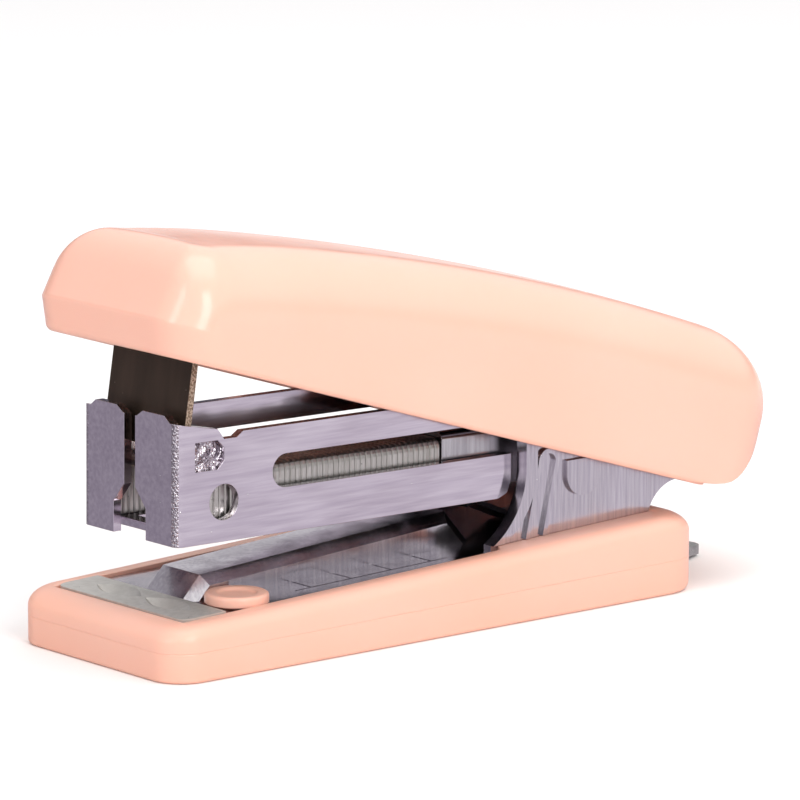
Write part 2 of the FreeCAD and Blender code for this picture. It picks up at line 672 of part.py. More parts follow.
def make_return_spring():
    """The leaf that lifts the magazine: riveted to the frame plate and rising forward."""
    spring = start_piece("return_spring", "base")
    rear, bend = S.leaf_rivet_y + S.leaf_end, S.leaf_rivet_y - S.leaf_end
    tip = S.pin_y - S.rail_end - S.return_leaf_reach
    tip_top = S.pin_z - S.mag_drop - S.return_leaf_gap
    curl, curl_top = tip - S.return_leaf_curl, tip_top - S.curl_drop
    flat = plate_top(rear)
    spring.pad(
        spring.outline("YZ_Plane", [
            (rear, flat), (rear, flat + S.leaf), (bend, flat + S.leaf), (tip, tip_top), (curl, curl_top),
            (curl + S.curl_step, curl_top - S.leaf), (tip, tip_top - S.leaf), (bend, flat),
        ]),
        S.return_leaf_width,
    )
    spring.cut(spring.circles("XY_Plane", [(0, S.leaf_rivet_y)], S.rivet_radius), 2 * BASE_TOP)


def make_base_rivets():
    """The shoe's moulded rivet with its dished head, the remover's rivet and the return spring's rivet."""
    head_low = plate_top(S.button_y + S.button_radius)
    blank = disc_stack("shoe_rivet_blank", "base", [(S.button_x, S.button_y, [
        (S.button_radius, head_low, head_low + S.button_head), (S.button_shank, S.base_floor, head_low),
    ])])
    del pieces["shoe_rivet_blank"]
    dimple_low = head_low + S.button_head - S.button_dimple_depth
    dimple = disc_stack("shoe_rivet_dimple", "base", [(S.button_x, S.button_y, [
        (S.button_dimple, dimple_low, dimple_low + S.button_head),
        (S.button_dimple, dimple_low, dimple_low + S.button_dimple_depth),
    ])])
    del pieces["shoe_rivet_dimple"]
    rivet = doc.addObject("Part::Cut", "shoe_rivet")
    rivet.Label = "shoe_rivet"
    rivet.Base, rivet.Tool = blank, dimple
    pieces["shoe_rivet"] = rivet
    frames["shoe_rivet"] = "base"
    head_low = plate_top(S.remover_rivet_y + S.post_radius)
    disc_stack("remover_rivet", "base", [(0, S.remover_rivet_y, [
        (S.rivet_radius, S.rivet_foot, plate_top(S.remover_rivet_y)),
        (S.rivet_head_radius, head_low, head_low + S.rivet_head),
    ])])
    leaf_top = plate_top(S.leaf_rivet_y + S.leaf_end) + S.leaf
    disc_stack("return_spring_rivet", "base", [(0, S.leaf_rivet_y, [
        (S.rivet_radius, seat(S.leaf_rivet_y) - S.rivet_sink, leaf_top),
        (S.rivet_head_radius, leaf_top, leaf_top + S.rivet_head),
    ])])


def add_flaps(channel, front, floor):
    """Folds the two front flaps, parted by the blade's slot, which opens into a mouth at the bottom."""
    middle = -front - S.mag_wall / 2
    outer = S.mag_half_width - S.flap_inset
    flap = channel.pad(
        channel.outline("XZ_Plane", [
            (S.flap_gap, S.mag_lip - S.flap_overlap), (outer, S.mag_lip - S.flap_overlap),
            (outer, S.mag_lip - S.flap_root), (outer - S.flap_corner, S.mag_lip + S.flap_rise),
            (S.flap_gap + S.flap_corner, S.mag_lip + S.flap_rise),
            (S.flap_gap, S.mag_lip - S.flap_inner_drop),
        ], middle),
        S.mag_wall,
    )
    channel.mirror([flap])
    mouth_neck = S.flap_mouth_top + S.flap_mouth_slope
    mouth_side = S.flap_mouth_top - S.flap_mouth_shoulder
    channel.cut(
        channel.outline("XZ_Plane", [
            (-S.flap_gap, mouth_neck), (-S.flap_mouth, mouth_side), (-S.flap_mouth, floor - 1),
            (S.flap_mouth, floor - 1), (S.flap_mouth, mouth_side), (S.flap_gap, mouth_neck),
            (S.flap_gap, OPEN_END), (-S.flap_gap, OPEN_END),
        ], middle),
        2 * S.mag_wall,
    )


def add_openings(channel, front):
    """Pierces the staple windows, the round holes, the hinge holes and the lanced pads of both walls."""
    height = S.window_top - S.window_bottom
    window_start = front + S.window_inset + height / 2
    channel.cut(
        channel.outline("YZ_Plane", [
            (window_start, S.window_bottom), (-S.rail_end, S.window_bottom), (-S.rail_end, S.window_top),
            (window_start, S.window_top),
        ], 0, {3: height / 2 + SMALLEST_CUT}),
        3 * S.mag_half_width,
    )
    for along, up, radius in (
        (front + S.hole_inset, S.hole_z, S.hole_radius), (0, 0, S.pin_radius + S.pin_clearance),
    ):
        channel.cut(channel.circles("YZ_Plane", [(along, up)], radius), 3 * S.mag_half_width)
    lance_front = front + S.lance_front
    lance_rear = lance_front + S.lance_length
    for side in (-1, 1):
        channel.cut(
            channel.outline("YZ_Plane", [
                (lance_front, S.lance_low), (lance_rear - S.lance_corner, S.lance_low),
                (lance_rear, S.lance_low + S.lance_corner), (lance_rear, S.lance_high - S.lance_corner),
                (lance_rear - S.lance_corner, S.lance_high), (lance_front, S.lance_high),
            ], side * S.mag_half_width),
            2 * S.lance_depth,
        )


def make_magazine():
    """The staple channel: walls and slotted floor, with front flaps, windows and hinge arms."""
    channel = start_piece("magazine", "magazine")
    front, floor, top = -S.mag_front, -S.mag_drop, S.mag_top
    notch_end, lip_end = front + S.notch_end, front + S.lip_length
    channel.pad(
        channel.outline("YZ_Plane", [
            (front, floor), (-S.rail_end - S.rail_corner, floor),
            (-S.rail_end - S.rail_corner_inner, floor + S.rail_corner_inner),
            (-S.rail_end, floor + S.rail_corner), (-S.rail_end, S.window_top), (-S.arm_front, S.window_top),
            (-S.arm_knee, -S.arm_low), (S.mag_rear, -S.arm_low), (S.mag_rear, top - S.mag_rear_corner),
            (S.mag_rear - S.mag_rear_corner, top), (notch_end + S.notch_ramp, top),
            (notch_end, top - S.notch_depth), (lip_end + S.lip_ramp, top - S.notch_depth),
            (lip_end, top + S.lip_tail), (front, S.mag_lip),
        ]),
        2 * S.mag_half_width,
    )
    channel.round(
        S.mag_bend,
        lambda middle, way: is_along(way, Z_AXIS) and abs(middle.y - front.value) < SMALLEST_CUT,
    )
    inner_front = front + S.mag_wall
    inner_width = 2 * S.mag_inner
    floor_top = floor + S.mag_floor
    box_cut(channel, inner_front, OPEN_END, floor_top, BASE_TOP, inner_width)
    box_cut(channel, inner_front, -S.strip_front, floor - 1, floor_top + 1, inner_width)
    box_cut(
        channel, S.floor_slot_front - S.strip_front, -S.rail_end - S.floor_slot_rear,
        floor - 1, floor_top + 1, 2 * S.floor_slot,
    )
    add_flaps(channel, front, floor)
    add_openings(channel, front)


def make_staple_strip():
    """The glued strip: legs either side of an open middle, under one crown."""
    strip = start_piece("staple_strip", "magazine")
    front = -S.strip_front
    rear = front + S.staple_pitch * S.staple_count
    low, high = S.mag_floor - S.mag_drop, S.crown_top
    strip.pad(
        strip.outline("YZ_Plane", [(front, low), (rear, low), (rear, high), (front, high)]),
        2 * S.crown_half_width,
    )
    strip.round(S.crown_round, lambda middle, way: is_along(way, Y_AXIS) and middle.z > 0)
    box_cut(strip, front - 1, rear + 1, low - 1, high - S.wire, 2 * (S.crown_half_width - S.wire))


def make_follower():
    """The pusher that slides behind the strip, bent from sheet, with a hole for its rod."""
    follower = start_piece("follower", "follower")
    front = follower_front()
    rear = front + S.follower_length
    low = S.mag_floor + S.side_gap - S.mag_drop
    high = S.crown_top + S.follower_rise
    half_width = S.mag_inner - S.side_gap
    follower.pad(
        follower.outline("YZ_Plane", [(front, low), (rear, low), (rear, high), (front, high)]),
        2 * half_width,
    )
    follower.round(S.follower_round, lambda middle, way: is_along(way, Y_AXIS) and middle.z > 0)
    box_cut(
        follower, front + S.follower_sheet, rear + 1, low - 1, high - S.follower_sheet,
        2 * (half_width - S.follower_sheet),
    )
    follower.cut(
        follower.circles("XZ_Plane", [(0, S.rod_z)], S.rod_radius + S.pin_clearance, -front),
        4 * S.follower_sheet,
    )


def make_follower_rod_and_anchor():
    """The rod that guides the follower, and the cross plate that holds the rod."""
    rod = start_piece("follower_rod", "magazine")
    front, rear = S.strip_front - S.rod_inset, S.rod_tail - S.anchor_y
    rod.pad(rod.circles("XZ_Plane", [(0, S.rod_z)], S.rod_radius, (front - rear) / 2), rear + front)
    anchor = start_piece("rod_anchor", "magazine")
    anchor.pad(
        anchor.outline("YZ_Plane", [
            (-S.anchor_y - S.sheet, -S.anchor_low), (-S.anchor_y, -S.anchor_low),
            (-S.anchor_y, S.anchor_high), (-S.anchor_y - S.sheet, S.anchor_high),
        ]),
        2 * S.mag_inner,
    )
    anchor.cut(anchor.circles("XZ_Plane", [(0, S.rod_z)], S.rod_radius, S.anchor_y), 4 * S.sheet)


def make_follower_spring():
    """The coil round the rod, from the follower's front wall to the anchor."""
    spring = start_piece("follower_spring", "magazine")
    start = follower_front() + S.follower_sheet + S.spring_wire
    end = -S.anchor_y - S.sheet - S.spring_wire
    drawing = spring.circles("YZ_Plane", [(start, S.spring_radius)], S.spring_wire / 2)
    bind(drawing, "AttachmentOffset.Base.y", S.rod_z)
    helix = spring.add("PartDesign::AdditiveHelix")
    helix.Profile = drawing
    helix.ReferenceAxis = (drawing, ["H_Axis"])
    helix.Mode = "height-turns-angle"
    helix.Angle = 0.0
    bind(helix, "Height", end - start)
    bind(helix, "Turns", S.spring_turns)


def make_cover_shell():
    """The moulded cover: a crowned shell open below, with two posts that hold its inner frame."""
    shell = start_piece("cover_shell", "cover")
    front, rear = -S.cover_front, S.cover_rear
    nose_top = S.cover_apex - S.nose_fall
    shell.pad(
        shell.outline("YZ_Plane", [
            (front + S.nose_low_back, -S.cover_drop), (rear - S.tail_reach, -S.cover_drop),
            (rear, S.tail_lift - S.cover_drop), (rear, S.cover_apex - S.tail_top_drop),
            (front + S.nose_top_back, nose_top), (front, S.nose_crease),
        ], 0, {3: S.cover_crown}),
        S.cover_width,
    )
    tail_middle = (S.cover_apex.value - S.cover_drop.value) / 2
    for radius, side in ((S.cover_rear_top_round, 1), (S.cover_rear_bottom_round, -1)):
        shell.round(
            radius,
            lambda middle, way, side=side: is_along(way, X_AXIS) and side * (middle.z - tail_middle) > 0
            and abs(middle.y - rear.value) < SMALLEST_CUT,
        )
    shell.round(
        S.cover_side_round,
        lambda middle, way: abs(abs(middle.x) - S.cover_width.value / 2) < SMALLEST_CUT and middle.z > 0
        and middle.y > front.value + S.nose_low_back.value,
    )
    inside = front + S.nose_wall
    inner_width = S.cover_width - 2 * S.cover_wall
    nose_inside = inside + S.nose_top_back
    shell.cut(
        shell.outline("YZ_Plane", [
            (inside + S.nose_low_back, -S.cover_drop - 1), (S.cover_open_rear, -S.cover_drop - 1),
            (S.cover_open_rear, S.open_rear_height),
            (S.cover_open_rear - S.open_rear_step, roof(S.open_rear_step - S.cover_open_rear) - S.shoulder),
            (nose_inside, roof(-nose_inside) - S.shoulder), (inside, S.nose_crease),
        ], 0, {3: S.cover_crown}),
        inner_width,
    )
    rear_inside, turn = rear - S.cover_wall, rear - S.cover_rear_top_round
    peak = roof(-nose_inside) - S.cover_wall
    lean = S.nose_top_back / (roof(-nose_inside) - S.shoulder - S.nose_crease)
    shell.cut(
        shell.outline("YZ_Plane", [
            (inside, -S.cavity_low), (rear_inside - S.cavity_step, -S.cavity_low),
            (rear_inside, S.cavity_rise), (rear_inside, S.cavity_knee),
            (rear_inside - S.cavity_slope, S.cavity_high), (turn, roof(-turn) - S.cover_wall),
            (inside + lean * (peak - S.nose_crease), peak), (inside, S.nose_crease),
        ], 0, {5: S.cover_crown}),
        inner_width - 2 * S.shoulder_step,
    )
    for forward in (S.cover_front - S.post_inset, S.post_rear):
        low, high = -forward - S.post_width / 2, -forward + S.post_width / 2
        shell.pad(
            shell.outline("YZ_Plane", [
                (low, channel_top(-low)), (high, channel_top(-high)),
                (high, roof(-high) - S.cover_wall / 2), (low, roof(-low) - S.cover_wall / 2),
            ]),
            S.post_width,
        )


def make_cover_frame():
    """The pressed steel frame inside the cover: a sloping plate with a hinge lug each side."""
    frame = start_piece("cover_frame", "cover")
    rear = S.mag_rear
    for forward, half_width in (
        (S.channel_front, S.channel_half_width), (S.lug_reach, S.lug_inner + S.lug_sheet),
    ):
        frame.pad(
            frame.outline("YZ_Plane", [
                (-forward, channel_top(forward) - S.sheet), (rear, channel_top(-rear) - S.sheet),
                (rear, channel_top(-rear)), (-forward, channel_top(forward)),
            ]),
            2 * half_width,
        )
    lug = frame.pad(
        frame.outline("YZ_Plane", [
            (-S.lug_half, -S.lug_low), (S.lug_half, -S.lug_low), (rear, -S.lug_shoulder),
            (rear, channel_top(-rear)), (-S.lug_reach, channel_top(S.lug_reach)),
            (-S.lug_reach, S.lug_front_step), (-S.lug_front_step, -S.lug_shoulder),
        ], S.lug_inner + S.lug_sheet / 2),
        S.lug_sheet,
    )
    frame.mirror([lug])
    frame.cut(frame.circles("YZ_Plane", [(0, 0)], S.pin_radius + S.pin_clearance), 3 * S.lug_inner)
    frame.cut(
        frame.circles(
            "XY_Plane", [*blade_rivet_centres(), (0, -S.cover_leaf_rivet)], S.rivet_radius * S.small_share
        ),
        2 * BASE_TOP,
    )


def make_driver_blade():
    """The hardened blade that drives each staple, bent back at its top and riveted to the frame."""
    blade = start_piece("driver_blade", "cover")
    tip = -S.blade_tip_z
    under = S.sheet + S.blade_thickness
    bend_z = channel_top(S.channel_front) - S.sheet
    front_top = S.blade_tip_y + (S.blade_tip_z + bend_z) * S.blade_slope
    flange_rear = S.blade_tip_y - S.blade_flange
    blade.pad(
        blade.outline("YZ_Plane", [
            (-S.blade_tip_y, tip), (S.blade_thickness - S.blade_tip_y, tip),
            (S.blade_thickness - front_top, channel_top(front_top) - under),
            (-flange_rear, channel_top(flange_rear) - under),
            (-flange_rear, channel_top(flange_rear) - S.sheet),
            (-front_top, channel_top(front_top) - S.sheet),
        ]),
        S.blade_width,
    )
    blade.cut(
        blade.circles("XY_Plane", blade_rivet_centres(), S.rivet_radius * S.small_share), 2 * BASE_TOP
    )


def make_cover_spring():
    """The leaf that lifts the cover: riveted under the frame and resting on the magazine's walls."""
    spring = start_piece("cover_spring", "cover")
    rear, bend = S.leaf_end - S.cover_leaf_rivet, -S.leaf_end - S.cover_leaf_rivet
    foot, under = S.cover_leaf_foot - S.cover_leaf_reach, S.sheet + S.leaf
    spring.pad(
        spring.outline("YZ_Plane", [
            (foot - S.cover_leaf_foot, S.cover_leaf_z + S.leaf), (foot, S.cover_leaf_z),
            (bend, channel_top(-bend) - under), (rear, channel_top(-rear) - under),
            (rear, channel_top(-rear) - S.sheet), (bend, channel_top(-bend) - S.sheet),
        ]),
        2 * S.cover_leaf_half,
    )
    spring.cut(
        spring.circles("XY_Plane", [(0, -S.cover_leaf_rivet)], S.rivet_radius * S.small_share),
        2 * BASE_TOP,
    )


def make_cover_rivets():
    """The rivets that hold the blade and the spring to the cover's frame."""
    shank, head = S.rivet_radius * S.small_share, S.rivet_head_radius * S.small_share
    forward = S.blade_rivet_place
    low = channel_top(forward) - S.sheet - S.blade_thickness - S.rivet_head - S.rivet_foot
    disc_stack("blade_rivets", "cover", [
        (across, along, [
            (shank, low, channel_top(forward) + S.rivet_foot), (head, low, low + S.rivet_head),
        ])
        for across, along in blade_rivet_centres()
    ])
    forward = S.cover_leaf_rivet
    low = channel_top(forward) - S.sheet - S.leaf - S.rivet_head - S.rivet_foot
    disc_stack("cover_spring_rivet", "cover", [(0, -forward, [
        (shank, low, channel_top(forward)), (S.rivet_head_radius, low, low + S.rivet_head),
    ])])


def place_pieces():
    """Puts each piece in its frame: the base, or the tilted frames that turn on the hinge pin."""
    tilts = {"base": None, "magazine": S.mag_tilt, "follower": S.mag_tilt, "cover": S.cover_tilt}
    for label, piece in pieces.items():
        tilt = tilts[frames[label]]
        if tilt is None:
            bind(piece, "Placement.Base.y", -S.base_length / 2)
            continue
        piece.Placement = FreeCAD.Placement(FreeCAD.Vector(), FreeCAD.Rotation(X_AXIS, -tilt.value))
        bind(piece, "Placement.Base.y", S.pin_y - S.base_length / 2)
        bind(piece, "Placement.Base.z", S.pin_z)
        bind(piece, "Placement.Rotation.Angle", -tilt)
    doc.recompute()


def check_and_write():
    """Stops on any failed object or bad shape, and otherwise writes one STEP file for each piece."""
    failed = [item.Name for item in doc.Objects if {"Invalid", "Error"} & set(item.State)]
    failed += [label for label, piece in pieces.items() if piece.Shape.isNull() or not piece.Shape.isValid()]
    if failed:
        raise ValueError(f"these objects failed: {failed}")
    os.makedirs("parts", exist_ok=True)
    for label, piece in pieces.items():
        piece.Shape.exportStep(f"parts/{label}.step")


for make in (
    make_base_shoe, make_base_frame, make_anvil_plate, make_hinge_pin, make_staple_remover,
    make_return_spring, make_base_rivets, make_magazine, make_staple_strip, make_follower,
    make_follower_rod_and_anchor, make_follower_spring, make_cover_frame, make_driver_blade,
    make_cover_spring, make_cover_rivets, make_cover_shell,
):
    make()
place_pieces()
check_and_write()
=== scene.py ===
"""Looks of the mini stapler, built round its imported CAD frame: plastic, plated pressings and wire staples."""
import logging
import math
from collections.abc import Callable
from dataclasses import dataclass
from enum import Enum

import bmesh
import bpy
from mathutils import Matrix, Vector


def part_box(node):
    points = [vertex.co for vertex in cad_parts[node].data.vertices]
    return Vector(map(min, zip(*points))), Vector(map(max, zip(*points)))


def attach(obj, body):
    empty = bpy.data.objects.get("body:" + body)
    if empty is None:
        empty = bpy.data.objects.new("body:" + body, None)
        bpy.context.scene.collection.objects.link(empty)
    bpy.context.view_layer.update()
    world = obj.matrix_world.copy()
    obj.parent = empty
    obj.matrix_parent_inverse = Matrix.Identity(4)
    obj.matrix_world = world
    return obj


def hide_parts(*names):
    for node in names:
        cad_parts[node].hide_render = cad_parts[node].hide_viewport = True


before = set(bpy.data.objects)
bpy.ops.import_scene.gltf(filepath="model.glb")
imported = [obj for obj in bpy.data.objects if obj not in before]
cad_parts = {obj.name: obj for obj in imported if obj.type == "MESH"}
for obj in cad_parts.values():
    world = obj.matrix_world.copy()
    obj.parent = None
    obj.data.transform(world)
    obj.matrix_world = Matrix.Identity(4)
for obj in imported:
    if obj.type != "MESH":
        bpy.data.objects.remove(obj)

LOG = logging.getLogger("mini_stapler")
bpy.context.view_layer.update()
MM = 0.001
QUARTER = math.pi / 2
WELD = 0.0005 * MM
SMOOTH_ANGLE = math.radians(50)
SHEET_SMOOTH_ANGLE = math.radians(24)
FLAT_ANGLE = math.radians(0.6)
BEVEL_ANGLE = math.radians(35)
BEVEL_SEGMENTS = 3
PLASTIC_IOR = 1.53
CAP_STEPS = 8
ROUND_STEPS = 14
FINE_ROUND_STEPS = 12
INNER_ROUND_STEPS = 6
STAPLE_BEND_STEPS = 4
Ring = list[Vector]
Socket = bpy.types.NodeSocket
Height = Callable[[float, float], float]


# ---------------------------------------------------------------- small helpers


def linear(hex_colour: str) -> tuple[float, float, float, float]:
    """Turns an sRGB hex colour into the linear colour that a shader takes.

    Args:
        hex_colour: six hex digits after a hash sign.

    Returns:
        Red, green, blue and alpha.
    """
    channels = [int(hex_colour[start:start + 2], 16) / 255 for start in (1, 3, 5)]
    lit = [c / 12.92 if c <= 0.04045 else ((c + 0.055) / 1.055) ** 2.4 for c in channels]
    return lit[0], lit[1], lit[2], 1.0


def ease(value: float) -> float:
    """Smooth step from 0 to 1."""
    share = min(1.0, max(0.0, value))
    return share * share * (3 - 2 * share)


def add(tree: bpy.types.NodeTree, kind: str, inputs: dict | None = None,
        **settings: object) -> bpy.types.Node:
    """Adds one node with its settings and links.

    Args:
        tree: the node tree that gets the node.
        kind: the node's type name.
        inputs: for each input, by name or number, a value or the output that feeds it.
        settings: the node's own properties.

    Returns:
        The new node.
    """
    node = tree.nodes.new(kind)
    for name, value in settings.items():
        setattr(node, name, value)
    for name, value in (inputs or {}).items():
        if isinstance(value, bpy.types.NodeSocket):
            tree.links.new(value, node.inputs[name])
        else:
            node.inputs[name].default_value = value
    return node


def new_object(name: str, mesh: bpy.types.Mesh) -> bpy.types.Object:
    """Puts a mesh into the scene as an object at the origin.

    Args:
        name: the piece's name.
        mesh: its mesh, already in place.

    Returns:
        The linked object.
    """
    piece = bpy.data.objects.new(name, mesh)
    bpy.context.scene.collection.objects.link(piece)
    return piece


def skin(name: str, rings: list[Ring], place: Matrix) -> bpy.types.Object:
    """Joins closed rings of equal length into one closed surface.

    Args:
        name: the piece's name.
        rings: rings in millimetres in the design frame; the first and last close on themselves.
        place: the design frame's place in the row frame, in metres.

    Returns:
        The piece, smooth shaded, with outward faces.
    """
    shape = bmesh.new()
    rows = [[shape.verts.new(place @ (point * MM)) for point in ring] for ring in rings]
    for lower, upper in zip(rows, rows[1:]):
        for index in range(len(lower)):
            following = (index + 1) % len(lower)
            shape.faces.new((lower[index], lower[following], upper[following], upper[index]))
    bmesh.ops.remove_doubles(shape, verts=shape.verts, dist=WELD)
    bmesh.ops.dissolve_degenerate(shape, edges=shape.edges, dist=WELD)
    bmesh.ops.recalc_face_normals(shape, faces=shape.faces)
    for face in shape.faces:
        face.smooth = True
    mesh = bpy.data.meshes.new(name)
    shape.to_mesh(mesh)
    shape.free()
    mesh.set_sharp_from_angle(angle=SMOOTH_ANGLE)
    return new_object(name, mesh)


@dataclass(frozen=True)
class HingeFrame:
    """A design frame that turns on the hinge pin; tilt is how far its front is raised at rest, in degrees."""

    tilt: float

    def place(self) -> Matrix:
        """Where the frame stands in the row frame."""
        low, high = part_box("hinge_pin")
        return Matrix.Translation((low + high) / 2) @ Matrix.Rotation(math.radians(-self.tilt), 4, "X")


MAGAZINE_FRAME = HingeFrame(tilt=0.64)
COVER_FRAME = HingeFrame(tilt=17.3)


@dataclass(frozen=True)
class PlanPoint:
    """A point of a plan outline with its outward direction."""

    x: float
    y: float
    across: float
    along: float

    @property
    def rear(self) -> float:
        """How much the outline faces the rear, 0 to 1."""
        return self.along * self.along if self.along > 0 else 0.0

    @property
    def front(self) -> float:
        """How much the outline faces the front, 0 to 1."""
        return self.along * self.along if self.along < 0 else 0.0

    def blend(self, side: float, front: float, rear: float) -> float:
        """Mixes three sizes by the way that the outline faces."""
        return side * self.across * self.across + front * self.front + rear * self.rear


@dataclass(frozen=True)
class Plan:
    """A rounded rectangle seen from above, in millimetres, as rings with the same number of points."""

    front: float
    rear: float
    half: float
    front_corner: float
    rear_corner: float
    end_steps: int = 10
    corner_steps: int = 14
    side_steps: int = 72

    def points(self) -> list[PlanPoint]:
        """The outline from the front's middle round by +X to the rear and back by -X.

        Returns:
            One PlanPoint for each vertex of the ring.
        """
        half_ring: list[PlanPoint] = []
        front_run, rear_run = self.half - self.front_corner, self.half - self.rear_corner
        for step in range(self.end_steps):
            half_ring.append(PlanPoint(front_run * step / self.end_steps, self.front, 0, -1))
        for step in range(self.corner_steps):
            turn = QUARTER * step / self.corner_steps
            half_ring.append(PlanPoint(
                front_run + self.front_corner * math.sin(turn),
                self.front + self.front_corner * (1 - math.cos(turn)), math.sin(turn), -math.cos(turn),
            ))
        side_start, side_end = self.front + self.front_corner, self.rear - self.rear_corner
        for step in range(self.side_steps):
            share = step / self.side_steps
            half_ring.append(PlanPoint(self.half, side_start + (side_end - side_start) * share, 1, 0))
        for step in range(self.corner_steps):
            turn = QUARTER * step / self.corner_steps
            half_ring.append(PlanPoint(
                rear_run + self.rear_corner * math.cos(turn),
                side_end + self.rear_corner * math.sin(turn), math.cos(turn), math.sin(turn),
            ))
        for step in range(self.end_steps + 1):
            half_ring.append(PlanPoint(rear_run * (1 - step / self.end_steps), self.rear, 0, 1))
        mirrored = [PlanPoint(-p.x, p.y, -p.across, p.along) for p in reversed(half_ring[1:-1])]
        return half_ring + mirrored

    def inset(self, side: float, front: float, rear: float, corners: tuple[float, float]) -> "Plan":
        """A smaller outline inside this one, with its own corner radii.

        Args:
            side: how far in the sides go.
            front: how far in the front goes.
            rear: how far in the rear goes.
            corners: the front and rear corner radii.

        Returns:
            The smaller plan, with the same number of points.
        """
        return Plan(self.front + front, self.rear - rear, self.half - side, corners[0], corners[1],
                    self.end_steps, self.corner_steps, self.side_steps)


def between(start: PlanPoint, end: PlanPoint, share: float) -> tuple[float, float]:
    """The place a share of the way from one outline's point to another's."""
    return start.x + (end.x - start.x) * share, start.y + (end.y - start.y) * share


# ---------------------------------------------------------------- finishes


class Grain(Enum):
    """The way that a surface's fine marks run, as stretch factors on X, Y and Z."""

    LENGTHWISE = (1.0, 0.06, 1.0)
    UPRIGHT = (1.0, 1.0, 0.05)
    EVEN = (1.0, 1.0, 1.0)


def start_material(name: str) -> tuple[bpy.types.Material, bpy.types.NodeTree, bpy.types.Node]:
    """Makes an empty node material.

    Args:
        name: the finish's name.

    Returns:
        The material, its node tree and its shader node.
    """
    material = bpy.data.materials.new(name)
    material.use_nodes = True
    tree = material.node_tree
    return material, tree, tree.nodes["Principled BSDF"]


def per_metre(size_mm: float) -> float:
    """A texture scale that gives features of that size in millimetres."""
    return 1 / (size_mm * MM)


def marks(tree: bpy.types.NodeTree, size_mm: float, grain: Grain, detail: float = 2.0) -> Socket:
    """Noise of a real size, stretched along the grain.

    Args:
        tree: the material's node tree.
        size_mm: the size of one mark across the grain.
        grain: the way that the marks run.
        detail: how many finer octaves are added.

    Returns:
        The noise value's output.
    """
    place = add(tree, "ShaderNodeTexCoord").outputs["Object"]
    turned = add(tree, "ShaderNodeMapping", {"Vector": place, "Scale": grain.value})
    noise = add(tree, "ShaderNodeTexNoise", {
        "Vector": turned.outputs["Vector"], "Scale": per_metre(size_mm), "Detail": detail,
    })
    return noise.outputs["Fac"]


def specks(tree: bpy.types.NodeTree, spacing_mm: float, radius_mm: float) -> Socket:
    """Small round spots, one to each cell.

    Args:
        tree: the material's node tree.
        spacing_mm: the usual distance between spots.
        radius_mm: the radius of a spot.

    Returns:
        An output that is 1 in a spot and 0 elsewhere.
    """
    place = add(tree, "ShaderNodeTexCoord").outputs["Object"]
    cells = add(tree, "ShaderNodeTexVoronoi", {"Vector": place, "Scale": per_metre(spacing_mm)})
    near = add(tree, "ShaderNodeMapRange", {
        "Value": cells.outputs["Distance"], "From Min": radius_mm / spacing_mm,
        "From Max": radius_mm / spacing_mm * 0.6, "To Min": 0.0, "To Max": 1.0,
    })
    return near.outputs["Result"]


def mixed(tree: bpy.types.NodeTree, share: Socket, first: str | Socket, second: str | Socket) -> Socket:
    """Mixes two colours, given as hex text or outputs.

    Args:
        tree: the material's node tree.
        share: how much of the second colour there is, 0 to 1.
        first: the colour at 0.
        second: the colour at 1.

    Returns:
        The mixed colour's output.
    """
    node = add(tree, "ShaderNodeMix", {"Factor": share}, data_type="RGBA")
    for socket, colour in ((node.inputs[6], first), (node.inputs[7], second)):
        if isinstance(colour, str):
            socket.default_value = linear(colour)
        else:
            tree.links.new(colour, socket)
    return node.outputs[2]


def spread(tree: bpy.types.NodeTree, value: Socket, low: float, high: float,
           start: float = 0.3, end: float = 0.7) -> Socket:
    """Maps an output's middle range onto another range.

    Args:
        tree: the material's node tree.
        value: the output to map.
        low: the result at start.
        high: the result at end.
        start: the value where the range begins.
        end: the value where it ends.

    Returns:
        The mapped value's output.
    """
    node = add(tree, "ShaderNodeMapRange", {
        "Value": value, "From Min": start, "From Max": end, "To Min": low, "To Max": high,
    })
    return node.outputs["Result"]


@dataclass(frozen=True)
class MouldedPlastic:
    """Injection-moulded ABS: an even colour with a polished skin, faint flow shade and a few dust pits."""

    name: str
    colour: str
    shade: str
    roughness: float
    peel_depth: float
    flow_mm: float = 14.0
    pit_spacing_mm: float = 7.0
    pit_mm: float = 0.09
    pit_colour: str = "#B98374"
    handling_mm: float = 3.0
    peel_mm: float = 1.1

    def make(self) -> bpy.types.Material:
        """Builds the material.

        Returns:
            The finished material.
        """
        material, tree, shader = start_material(self.name)
        flow = spread(tree, marks(tree, self.flow_mm, Grain.EVEN, 1.0), 0.0, 1.0)
        body = mixed(tree, flow, self.colour, self.shade)
        pits = specks(tree, self.pit_spacing_mm, self.pit_mm)
        tree.links.new(mixed(tree, pits, body, self.pit_colour), shader.inputs["Base Color"])
        rubbed = marks(tree, self.handling_mm, Grain.EVEN, 3.0)
        handling = spread(tree, rubbed, self.roughness - 0.03, self.roughness + 0.05)
        tree.links.new(handling, shader.inputs["Roughness"])
        peel = add(tree, "ShaderNodeBump", {
            "Height": marks(tree, self.peel_mm, Grain.EVEN, 1.0), "Strength": self.peel_depth,
            "Distance": 0.02 * MM,
        })
        tree.links.new(peel.outputs["Normal"], shader.inputs["Normal"])
        shader.inputs["IOR"].default_value = PLASTIC_IOR
        shader.inputs["Subsurface Weight"].default_value = 0.12
        shader.inputs["Subsurface Radius"].default_value = (1.0, 0.45, 0.3)
        shader.inputs["Subsurface Scale"].default_value = 0.6 * MM
        return material


